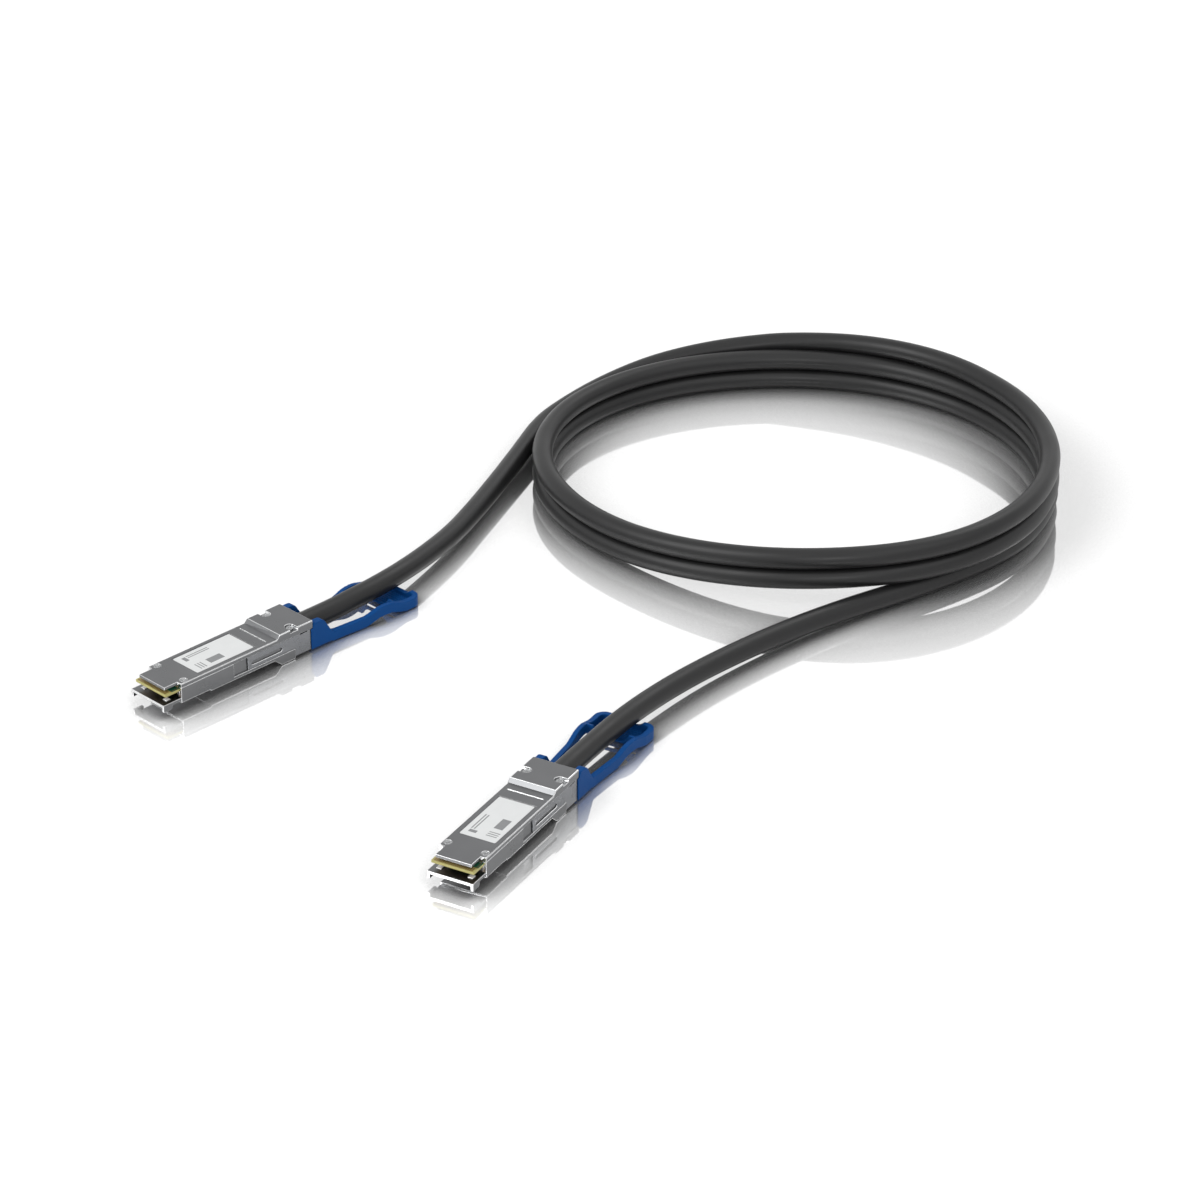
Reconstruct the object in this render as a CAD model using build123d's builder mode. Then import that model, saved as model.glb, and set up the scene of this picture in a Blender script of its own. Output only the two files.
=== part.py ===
from build123d import *
from math import cos, radians, sin, tan
import os

# A direct attach copper cable lying on a flat surface: two pluggable connectors, each with a
# sliding pull tab, on one jacketed cable that lies coiled in three turns.
# Lengths are millimetres. A connector is built once, in a frame of its own: X runs from its
# rear face to its mating end, Y across it, and Z up from the surface that it rests on.

# Connector body
BODY_WIDTH = 18.35
BODY_HEIGHT = 8.5
BODY_LIFT = 2.7
BODY_LENGTH = 63.0
WALL = 1.5
FLOOR = 1.2
ROOF = 1.2
SKIRT_DEPTH = 1.7
NOSE_STEP_LENGTH = 13.6
NOSE_STEP_RISE = 0.6
CAST_EDGE = 0.25

# Raised head over the cable's end, and the block below it
HEAD_LENGTH = 15.76
HEAD_RISE = 1.5
HEAD_SLOPE = 1.44
BLOCK_LENGTH = 15.0
BLOCK_SINK = 1.7

# Rib that the connector rests on
RIB_START = 8.7
RIB_LENGTH = 6.5
RIB_RAMP = 3.2

# Tongue plate of the lower shell, its corner legs and its two pads
PLATE_REACH = 8.35
PLATE_WIDTH = 18.0
PLATE_THICKNESS = 1.15
PLATE_RISE = 2.75
PLATE_ROOT = 2.0
LEG_LENGTH = 4.35
LEG_WIDTH = 1.1
LEG_DROP = 1.7
LEG_ROUND = 1.2
PAD_LENGTH = 2.0
PAD_HEIGHT = 0.25
PAD_SETBACK = 3.85
PAD_SPACING = 12.2

# Tongue, label panel and groove of the cover
TONGUE_REACH = 5.97
TONGUE_WIDTH = 13.93
LABEL_START = 26.64
LABEL_LENGTH = 26.71
LABEL_WIDTH = 13.93
LABEL_THICKNESS = 0.12
PANEL_MARGIN = 0.5
PANEL_DEPTH = 0.15
GROOVE_PLACE = 21.1
GROOVE_WIDTH = 0.45
GROOVE_LENGTH = 14.2
GROOVE_DEPTH = 0.3

# Paddle card and its chip
CARD_REACH = 6.62
CARD_WIRE_ROOM = 15.02
CARD_THICKNESS = 1.0
CARD_DROP = 2.2
CARD_FRONT_WIDTH = 16.5
CARD_FIT = 0.1
LEDGE_WIDTH = 0.8
CHIP_SIZE = 3.0
CHIP_HEIGHT = 0.75
CHIP_SPACE = 10.6

# Screws, their bosses and the notches of the rear pair
SCREW_HEAD = 2.75
SCREW_HEAD_HEIGHT = 0.8
SCREW_SHANK = 1.6
SCREW_FIT = 0.1
SCREW_CROSS = 1.5
SCREW_CROSS_WIDTH = 0.35
SCREW_CROSS_DEPTH = 0.4
FRONT_SCREW_SETBACK = 2.71
FRONT_SCREW_SPREAD = 14.74
FRONT_SCREW_LENGTH = 5.0
REAR_SCREW_PLACE = 8.96
REAR_SCREW_SPREAD = 13.12
REAR_SCREW_LENGTH = 4.0
BOSS_LENGTH = 4.0
BOSS_MARGIN = 0.7
NOTCH_WIDTH = 3.6
NOTCH_DEPTH = 1.25

# Cable, its ferrule and its wire pairs
CABLE_DIAMETER = 8.2
CABLE_HEIGHT = 6.9
JACKET_DEPTH = 4.0
FERRULE_FLANGE = 10.0
FERRULE_FLANGE_LENGTH = 1.5
FERRULE_DIAMETER = 8.4
FERRULE_LENGTH = 7.0
FERRULE_BORE = 6.4
BORE_FIT = 0.1
PAIR_DIAMETER = 0.9
PAIR_PITCH_AT_FERRULE = 1.4
PAIR_RISE_AT_FERRULE = 1.2
PAIR_PITCH_ON_CARD = 3.6
PAIR_LAP = 4.0
PAIR_GAP = 0.01
PAIR_BEND = 8.0
PAIRS_PER_SIDE = 4

# Latch slides and their springs
LATCH_TRAVEL = 3.5
LATCH_LENGTH = 31.5
LATCH_PLATE = 0.5
LATCH_FIT = 0.05
LATCH_RISE = 1.5
LATCH_TAIL_LENGTH = 8.5
LATCH_TAIL_BOTTOM = 0.95
LATCH_SLOT_START = 15.0
LATCH_SLOT_LAND = 1.8
LATCH_SLOT_HEIGHT = 1.5
LATCH_SLOT_RISE = 3.75
LATCH_WINDOW_START = 2.4
LATCH_WINDOW_LENGTH = 3.6
LATCH_WINDOW_HEIGHT = 0.55
LATCH_INSERT = 6.0
LATCH_INSERT_MARGIN = 0.4
POCKET_LENGTH = 6.7
SPRING_DIAMETER = 1.9
SPRING_WALL = 0.25
SPRING_SOLID_LENGTH = 2.5
SPRING_START = 6.5
SPRING_SPREAD = 14.8
SPRING_HEIGHT = 5.7
LUG_THICKNESS = 0.8
LUG_FIT = 0.1

# Pull tab: cheeks behind the connector, two arms with a hump, and a ribbed pad
TAB_GAP = 0.1
TAB_BOTTOM = 0.3
TAB_LENGTH = 52.5
TAB_HALF_WIDTH = 9.5
CHEEK_INNER = 6.5
CHEEK_LENGTH = 9.6
CHEEK_TOP = 11.3
CHEEK_BOTTOM = 0.8
CHEEK_CROWN = 5.2
CHEEK_LIP = 1.0
CHEEK_FRONT_ROUND = 1.2
CHEEK_BACK_ROUND = 2.6
CHEEK_FOOT_ROUND = 0.9
ARM_THICKNESS = 2.2
ARM_HEIGHT = 4.0
HUMP_RISE = 1.9
HUMP_RUN = 6.5
HUMP_TOP_LENGTH = 5.0
HUMP_BEND = 9.0
PAD_HALF_WIDTH = 11.8
PAD_CORNER = 4.0
PAD_DEPTH = 13.5
PAD_LEVEL_LENGTH = 8.5
PAD_RIM = 2.0
PAD_FRONT_RIM = 1.2
PAD_PLATE = 1.0
PAD_RIBS = 8
PAD_RIB_WIDTH = 0.6
PAD_RIB_HEIGHT = 0.3
SADDLE_WIDTH = 15.2
SADDLE_ROOM = 0.6
SADDLE_RISE = 0.4

# Coil of the cable: an oval that is a little three cornered, one strand above another
COIL_X = -235.0
COIL_Y = 47.5
COIL_RADIUS = 97.3
COIL_OVAL = 4.1
COIL_OVAL_TURN = 107.0
COIL_LOBE = 1.8
COIL_LOBE_TURN = 63.0
COIL_CORNERS = 12
COIL_ROUND = 4.0
STRAND_PITCH = 8.3
STRAND_GAP = 0.15
COIL_START_ANGLE = 120.0
COIL_END_ANGLE = 165.0
CLIMB_START_Y = 24.0
CLIMB_END_Y = 125.0
LOW_CUT_ANGLE = 60.0
HIGH_CUT_ANGLE = 180.0
SECTOR_STEPS = 6

# Share of the shorter run beside a corner of a route that the corner's arc takes up
ARC_SHARE = 0.45

# Where the second connector lies
SECOND_X = 8.63
SECOND_Y = 148.54
SECOND_TURN = 15.64

# Points of the free leads between a connector and the coil
LEAD_B_POINTS = [
    (-18.3, 141.0, 6.9),
    (-46.0, 134.2, 7.3),
    (-70.6, 130.2, 6.9),
    (-94.0, 128.1, 6.1),
    (-120.0, 128.0, 5.5),
    (-145.5, 129.7, 4.9),
    (-170.0, 133.0, 4.3),
    (-193.0, 138.0, 4.1),
    (-217.0, 142.3, 4.1),
    (-242.5, 144.5, 4.1),
    (-266.0, 141.0, 4.1),
]
LEAD_A_POINTS = [
    (-332.6, 47.5, 20.8),
    (-330.3, 22.0, 20.6),
    (-322.0, -2.6, 19.5),
    (-307.4, -24.9, 17.6),
    (-296.8, -35.5, 15.7),
    (-286.0, -44.3, 13.9),
    (-274.0, -52.0, 12.2),
    (-260.6, -57.8, 10.7),
    (-244.6, -61.3, 9.0),
    (-226.4, -62.4, 7.4),
    (-205.1, -59.9, 6.4),
    (-191.7, -55.5, 6.2),
    (-175.4, -47.0, 5.9),
    (-159.2, -39.2, 5.4),
    (-141.6, -30.8, 5.1),
    (-125.7, -23.4, 5.0),
    (-105.3, -14.1, 5.5),
    (-83.9, -7.2, 6.4),
    (-66.5, -2.7, 7.3),
    (-50.6, -0.5, 7.5),
    (-30.0, 0.0, 6.9),
]

# Heights and places that follow from the sizes above
HALF_WIDTH = BODY_WIDTH / 2
INNER_HALF = HALF_WIDTH - WALL
BODY_TOP = BODY_LIFT + BODY_HEIGHT
HEAD_TOP = BODY_TOP + HEAD_RISE
SEAM = BODY_TOP - SKIRT_DEPTH
ROOF_UNDERSIDE = BODY_TOP - ROOF
FLOOR_TOP = BODY_LIFT + FLOOR
BLOCK_BOTTOM = BODY_LIFT - BLOCK_SINK
NOSE_STEP = BODY_LENGTH - NOSE_STEP_LENGTH
NOSE_BOTTOM = BODY_LIFT + NOSE_STEP_RISE
RIB_END = RIB_START + RIB_LENGTH
RIB_CENTRE = RIB_START + RIB_LENGTH / 2
PLATE_TOP = BODY_LIFT + PLATE_RISE
PLATE_UNDERSIDE = PLATE_TOP - PLATE_THICKNESS
PLATE_FRONT = BODY_LENGTH + PLATE_REACH
CARD_TOP = BODY_TOP - CARD_DROP
CARD_BOTTOM = CARD_TOP - CARD_THICKNESS
CARD_FRONT = BODY_LENGTH + CARD_REACH
CARD_REAR = BLOCK_LENGTH + CARD_WIRE_ROOM
FRONT_SCREW_PLACE = BODY_LENGTH - FRONT_SCREW_SETBACK
BOSS_START = FRONT_SCREW_PLACE - BOSS_LENGTH / 2
BOSS_END = FRONT_SCREW_PLACE + BOSS_LENGTH / 2
BOSS_INNER = FRONT_SCREW_SPREAD / 2 - SCREW_SHANK / 2 - BOSS_MARGIN
LEDGE_INNER = INNER_HALF - LEDGE_WIDTH
NOTCH_FLOOR = HEAD_TOP - NOTCH_DEPTH
FERRULE_END = JACKET_DEPTH + FERRULE_LENGTH
LATCH_OUTER = HALF_WIDTH - 2 * LATCH_FIT
LATCH_INNER = LATCH_OUTER - LATCH_PLATE
RECESS_FLOOR = LATCH_INNER - LATCH_FIT
LATCH_BOTTOM = BODY_LIFT + LATCH_RISE
LATCH_TOP = SEAM - LATCH_FIT
LATCH_SLOT_LENGTH = LATCH_LENGTH - LATCH_SLOT_LAND - LATCH_SLOT_START
SPRING_LENGTH = SPRING_SOLID_LENGTH + LATCH_TRAVEL
SPRING_END = SPRING_START + SPRING_LENGTH
LUG_END = SPRING_END + LUG_THICKNESS
ARM_TOP = TAB_BOTTOM + ARM_HEIGHT
PAD_START = TAB_LENGTH - PAD_DEPTH
HUMP_FOOT = TAB_LENGTH - PAD_LEVEL_LENGTH
HUMP_START = HUMP_FOOT - 2 * HUMP_RUN - HUMP_TOP_LENGTH
CABLE_RADIUS = CABLE_DIAMETER / 2
COIL_HEIGHT = 2 * STRAND_PITCH + CABLE_DIAMETER

FIRST_SEAT = Location((-RIB_CENTRE, 0, 0))
SECOND_SEAT = Location((SECOND_X, SECOND_Y, 0), (0, 0, SECOND_TURN)) * FIRST_SEAT
SIDES = (1, -1)


def side_plane(distance):
    """The upright plane along the connector at a distance to its left, facing right."""
    return Plane.XZ.offset(-distance)


def block(start, end, inner, outer, bottom, top, mode=Mode.ADD):
    """A plain block given by its two corners, in the part that is being built."""
    with BuildSketch(Plane.XY.offset(bottom)) as footprint:
        with Locations(((start + end) / 2, (inner + outer) / 2)):
            Rectangle(end - start, abs(outer - inner))
    extrude(footprint.sketch, amount=top - bottom, mode=mode)


def rod(start, length, diameter, across, height, mode=Mode.ADD):
    """A round rod along the connector, in the part that is being built."""
    with BuildSketch(Plane.YZ.offset(start)) as section:
        with Locations((across, height)):
            Circle(diameter / 2)
    extrude(section.sketch, amount=length, mode=mode)


def cable_bores():
    """The room for the jacket, the ferrule and the wire throat, cut from one half."""
    jacket_bore = CABLE_DIAMETER + 2 * BORE_FIT
    flange_bore = FERRULE_FLANGE + 2 * BORE_FIT
    ferrule_bore = FERRULE_DIAMETER + 2 * BORE_FIT
    flange_length = FERRULE_FLANGE_LENGTH + 2 * BORE_FIT
    rod(0, JACKET_DEPTH, jacket_bore, 0, CABLE_HEIGHT, Mode.SUBTRACT)
    rod(JACKET_DEPTH - BORE_FIT, flange_length, flange_bore, 0, CABLE_HEIGHT, Mode.SUBTRACT)
    rod(JACKET_DEPTH, FERRULE_LENGTH + BORE_FIT, ferrule_bore, 0, CABLE_HEIGHT, Mode.SUBTRACT)
    rod(FERRULE_END, BLOCK_LENGTH - FERRULE_END, FERRULE_BORE, 0, CABLE_HEIGHT, Mode.SUBTRACT)


# Lower shell: floor, side walls, rear block and rest rib from one side outline
with BuildPart() as lower_shell:
    with BuildSketch(Plane.XZ):
        Polygon(
            (0, BLOCK_BOTTOM),
            (RIB_START, BLOCK_BOTTOM),
            (RIB_START, 0),
            (RIB_END, 0),
            (RIB_END + RIB_RAMP, BODY_LIFT),
            (NOSE_STEP, BODY_LIFT),
            (NOSE_STEP, NOSE_BOTTOM),
            (BODY_LENGTH, NOSE_BOTTOM),
            (BODY_LENGTH, SEAM),
            (0, SEAM),
            align=None,
        )
    extrude(amount=HALF_WIDTH, both=True)
    long_edges = lower_shell.edges().filter_by(Axis.X)
    chamfer(long_edges.filter_by_position(Axis.Z, -FLOOR, FLOOR_TOP), CAST_EDGE)
    block(BLOCK_LENGTH, BODY_LENGTH, -INNER_HALF, INNER_HALF, FLOOR_TOP, SEAM, Mode.SUBTRACT)
    # Tongue plate, stepped up from the floor
    with BuildSketch(Plane.XZ):
        Polygon(
            (BODY_LENGTH - PLATE_ROOT, NOSE_BOTTOM),
            (BODY_LENGTH, NOSE_BOTTOM),
            (BODY_LENGTH, PLATE_UNDERSIDE),
            (PLATE_FRONT, PLATE_UNDERSIDE),
            (PLATE_FRONT, PLATE_TOP),
            (BODY_LENGTH - PLATE_ROOT, PLATE_TOP),
            align=None,
        )
    extrude(amount=PLATE_WIDTH / 2, both=True)
    for side in SIDES:
        # Corner leg with a rounded heel
        with BuildSketch(side_plane(side * PLATE_WIDTH / 2)) as leg:
            with Locations((PLATE_FRONT - LEG_LENGTH / 2, PLATE_UNDERSIDE - LEG_DROP / 2)):
                Rectangle(LEG_LENGTH, LEG_DROP)
            fillet(leg.vertices().group_by(Axis.X)[0].sort_by(Axis.Z)[0], LEG_ROUND)
        extrude(amount=side * LEG_WIDTH)
        # Small pad on the plate
        pad_inner = PAD_SPACING / 2 - PAD_LENGTH / 2
        pad_outer = PAD_SPACING / 2 + PAD_LENGTH / 2
        pad_end = PLATE_FRONT - PAD_SETBACK + PAD_LENGTH / 2
        pad_top = PLATE_TOP + PAD_HEIGHT
        block(pad_end - PAD_LENGTH, pad_end, side * pad_inner, side * pad_outer, PLATE_TOP, pad_top)
        # Ledge under the card, and boss for the front screw
        block(CARD_REAR, BOSS_START, side * LEDGE_INNER, side * INNER_HALF, FLOOR_TOP, CARD_BOTTOM)
        block(BOSS_START, BOSS_END, side * BOSS_INNER, side * INNER_HALF, FLOOR_TOP, SEAM)
        # Recess for the latch slide, open to the rear, and its pocket at the front
        with BuildSketch(side_plane(side * HALF_WIDTH)):
            Polygon(
                (0, 0),
                (LATCH_TAIL_LENGTH + LATCH_FIT, 0),
                (LATCH_TAIL_LENGTH + LATCH_FIT, LATCH_BOTTOM - LATCH_FIT),
                (LATCH_LENGTH + POCKET_LENGTH, LATCH_BOTTOM - LATCH_FIT),
                (LATCH_LENGTH + POCKET_LENGTH, SEAM),
                (0, SEAM),
                align=None,
            )
        extrude(amount=side * (HALF_WIDTH - RECESS_FLOOR), mode=Mode.SUBTRACT)
        # Spring room, reached by the lug of the slide
        spring_axis = SPRING_SPREAD / 2
        room = SPRING_DIAMETER / 2 + LUG_FIT
        block(
            SPRING_START,
            LUG_END + LUG_FIT,
            side * (spring_axis - room),
            side * RECESS_FLOOR,
            SPRING_HEIGHT - room,
            SPRING_HEIGHT + room,
            Mode.SUBTRACT,
        )
        # Screw holes
        with BuildSketch(Plane.XY.offset(SEAM)):
            with Locations((FRONT_SCREW_PLACE, side * FRONT_SCREW_SPREAD / 2)):
                Circle(SCREW_SHANK / 2 + SCREW_FIT)
        extrude(
            amount=BODY_TOP - SCREW_HEAD_HEIGHT - FRONT_SCREW_LENGTH - SCREW_FIT - SEAM,
            mode=Mode.SUBTRACT,
        )
        with BuildSketch(Plane.XY.offset(SEAM)):
            with Locations((REAR_SCREW_PLACE, side * REAR_SCREW_SPREAD / 2)):
                Circle(SCREW_SHANK / 2 + SCREW_FIT)
        extrude(amount=NOTCH_FLOOR - REAR_SCREW_LENGTH - SCREW_FIT - SEAM, mode=Mode.SUBTRACT)
    cable_bores()

# Top cover: skirt, roof and raised head from one side outline
with BuildPart() as top_cover:
    with BuildSketch(Plane.XZ):
        Polygon(
            (0, SEAM),
            (BODY_LENGTH, SEAM),
            (BODY_LENGTH, BODY_TOP),
            (HEAD_LENGTH + HEAD_SLOPE, BODY_TOP),
            (HEAD_LENGTH, HEAD_TOP),
            (0, HEAD_TOP),
            align=None,
        )
    extrude(amount=HALF_WIDTH, both=True)
    long_edges = top_cover.edges().filter_by(Axis.X)
    chamfer(long_edges.filter_by_position(Axis.Z, ROOF_UNDERSIDE, HEAD_TOP + ROOF), CAST_EDGE)
    block(BLOCK_LENGTH, BODY_LENGTH, -INNER_HALF, INNER_HALF, SEAM, ROOF_UNDERSIDE, Mode.SUBTRACT)
    tongue_end = BODY_LENGTH + TONGUE_REACH
    block(BODY_LENGTH, tongue_end, -TONGUE_WIDTH / 2, TONGUE_WIDTH / 2, ROOF_UNDERSIDE, BODY_TOP)
    # Panel for the label, and the cross groove behind it
    with BuildSketch(Plane.XY.offset(BODY_TOP)):
        with Locations((LABEL_START + LABEL_LENGTH / 2, 0)):
            Rectangle(LABEL_LENGTH + 2 * PANEL_MARGIN, LABEL_WIDTH + 2 * PANEL_MARGIN)
    extrude(amount=-PANEL_DEPTH, mode=Mode.SUBTRACT)
    with BuildSketch(Plane.XY.offset(BODY_TOP)):
        with Locations((GROOVE_PLACE, 0)):
            SlotOverall(GROOVE_LENGTH, GROOVE_WIDTH, rotation=90)
    extrude(amount=-GROOVE_DEPTH, mode=Mode.SUBTRACT)
    for side in SIDES:
        # Boss for the front screw, and the rib that holds the card down
        block(BOSS_START, BOSS_END, side * BOSS_INNER, side * INNER_HALF, SEAM, ROOF_UNDERSIDE)
        block(CARD_REAR, BOSS_START, side * LEDGE_INNER, side * INNER_HALF, CARD_TOP, ROOF_UNDERSIDE)
        with BuildSketch(Plane.XY.offset(BODY_TOP)):
            with Locations((FRONT_SCREW_PLACE, side * FRONT_SCREW_SPREAD / 2)):
                Circle(SCREW_HEAD / 2 + SCREW_FIT / 2)
        extrude(amount=-SCREW_HEAD_HEIGHT, mode=Mode.SUBTRACT)
        # Notch of the rear screw, round inside and open to the side
        with BuildSketch(Plane.XY.offset(HEAD_TOP)):
            with Locations((REAR_SCREW_PLACE, side * REAR_SCREW_SPREAD / 2)):
                Circle(NOTCH_WIDTH / 2)
            with Locations((REAR_SCREW_PLACE, side * (REAR_SCREW_SPREAD / 2 + NOTCH_WIDTH))):
                Rectangle(NOTCH_WIDTH, 2 * NOTCH_WIDTH)
        extrude(amount=-NOTCH_DEPTH, mode=Mode.SUBTRACT)
        # Clearance holes of both screws
        with BuildSketch(Plane.XY.offset(SEAM)):
            with Locations((FRONT_SCREW_PLACE, side * FRONT_SCREW_SPREAD / 2)):
                Circle(SCREW_SHANK / 2 + SCREW_FIT)
            with Locations((REAR_SCREW_PLACE, side * REAR_SCREW_SPREAD / 2)):
                Circle(SCREW_SHANK / 2 + SCREW_FIT)
        extrude(amount=HEAD_RISE + SKIRT_DEPTH, mode=Mode.SUBTRACT)
    cable_bores()

# Paddle card: a wide mating edge, a neck between the screw bosses and a wide rear
with BuildPart() as paddle_card:
    with BuildSketch(Plane.XY.offset(CARD_BOTTOM)):
        card_half = CARD_FRONT_WIDTH / 2
        neck_half = BOSS_INNER - CARD_FIT
        rear_half = INNER_HALF - CARD_FIT
        neck_start = BOSS_START - CARD_FIT
        neck_end = BODY_LENGTH + CARD_FIT
        with BuildLine():
            Polyline(
                (CARD_FRONT, 0),
                (CARD_FRONT, card_half),
                (neck_end, card_half),
                (neck_end, neck_half),
                (neck_start, neck_half),
                (neck_start, rear_half),
                (CARD_REAR, rear_half),
                (CARD_REAR, 0),
            )
            mirror(about=Plane.XZ)
        make_face()
    extrude(amount=CARD_THICKNESS)

# Identification chip on the card
with BuildPart() as memory_chip:
    chip_start = CARD_REAR + PAIR_LAP + CHIP_SPACE
    chip_half = CHIP_SIZE / 2
    chip_end = chip_start + CHIP_SIZE
    block(chip_start, chip_end, -chip_half, chip_half, CARD_TOP, CARD_TOP + CHIP_HEIGHT)

# Label in its panel
with BuildPart() as label_plate:
    label_end = LABEL_START + LABEL_LENGTH
    label_base = BODY_TOP - PANEL_DEPTH
    label_half = LABEL_WIDTH / 2
    label_top = label_base + LABEL_THICKNESS
    block(LABEL_START, label_end, -label_half, label_half, label_base, label_top)
    fillet(label_plate.edges().filter_by(Axis.Z), PANEL_MARGIN)

# Ferrule: a flanged sleeve that the jacket butts against
with BuildPart() as crimp_ferrule:
    rod(JACKET_DEPTH, FERRULE_FLANGE_LENGTH, FERRULE_FLANGE, 0, CABLE_HEIGHT)
    rod(JACKET_DEPTH, FERRULE_LENGTH, FERRULE_DIAMETER, 0, CABLE_HEIGHT)
    rod(JACKET_DEPTH, FERRULE_LENGTH, FERRULE_BORE, 0, CABLE_HEIGHT, Mode.SUBTRACT)


def screw(length):
    """A cross head screw with its head's underside at the origin, pointing down."""
    with BuildPart() as fastener:
        with BuildSketch(Plane.XY):
            Circle(SCREW_HEAD / 2)
        extrude(amount=SCREW_HEAD_HEIGHT)
        with BuildSketch(Plane.XY):
            Circle(SCREW_SHANK / 2)
        extrude(amount=-length)
        with BuildSketch(Plane.XY.offset(SCREW_HEAD_HEIGHT)):
            Rectangle(SCREW_CROSS, SCREW_CROSS_WIDTH)
            Rectangle(SCREW_CROSS_WIDTH, SCREW_CROSS)
        extrude(amount=-SCREW_CROSS_DEPTH, mode=Mode.SUBTRACT)
    return fastener.part


# Latch slide of the left side: a plate with a tail, a slot, a lug and an insert for the tab
with BuildPart() as latch_arm:
    with BuildSketch(side_plane(LATCH_OUTER)):
        insert_bottom = LATCH_BOTTOM + LATCH_INSERT_MARGIN
        insert_top = LATCH_TOP - LATCH_INSERT_MARGIN
        Polygon(
            (-LATCH_INSERT, insert_bottom),
            (0, insert_bottom),
            (0, LATCH_TAIL_BOTTOM),
            (LATCH_TAIL_LENGTH, LATCH_TAIL_BOTTOM),
            (LATCH_TAIL_LENGTH, LATCH_BOTTOM),
            (LATCH_LENGTH, LATCH_BOTTOM),
            (LATCH_LENGTH, LATCH_TOP),
            (LATCH_WINDOW_START + LATCH_WINDOW_LENGTH, LATCH_TOP),
            (LATCH_WINDOW_START + LATCH_WINDOW_LENGTH, LATCH_TOP - LATCH_WINDOW_HEIGHT),
            (LATCH_WINDOW_START, LATCH_TOP - LATCH_WINDOW_HEIGHT),
            (LATCH_WINDOW_START, LATCH_TOP),
            (0, LATCH_TOP),
            (0, insert_top),
            (-LATCH_INSERT, insert_top),
            align=None,
        )
        with Locations((LATCH_SLOT_START + LATCH_SLOT_LENGTH / 2, BODY_LIFT + LATCH_SLOT_RISE)):
            SlotOverall(LATCH_SLOT_LENGTH, LATCH_SLOT_HEIGHT, mode=Mode.SUBTRACT)
    extrude(amount=LATCH_PLATE)
    lug_inner = SPRING_SPREAD / 2 - SPRING_DIAMETER / 2
    lug_bottom = SPRING_HEIGHT - SPRING_DIAMETER / 2
    lug_top = SPRING_HEIGHT + SPRING_DIAMETER / 2
    block(SPRING_END, LUG_END, lug_inner, LATCH_INNER, lug_bottom, lug_top)

# Return spring of the left side, as a plain sleeve of the coil's outer and inner diameters
with BuildPart() as return_spring:
    rod(SPRING_START, SPRING_LENGTH, SPRING_DIAMETER, SPRING_SPREAD / 2, SPRING_HEIGHT)
    spring_bore = SPRING_DIAMETER - 2 * SPRING_WALL
    rod(SPRING_START, SPRING_LENGTH, spring_bore, SPRING_SPREAD / 2, SPRING_HEIGHT, Mode.SUBTRACT)

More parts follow.
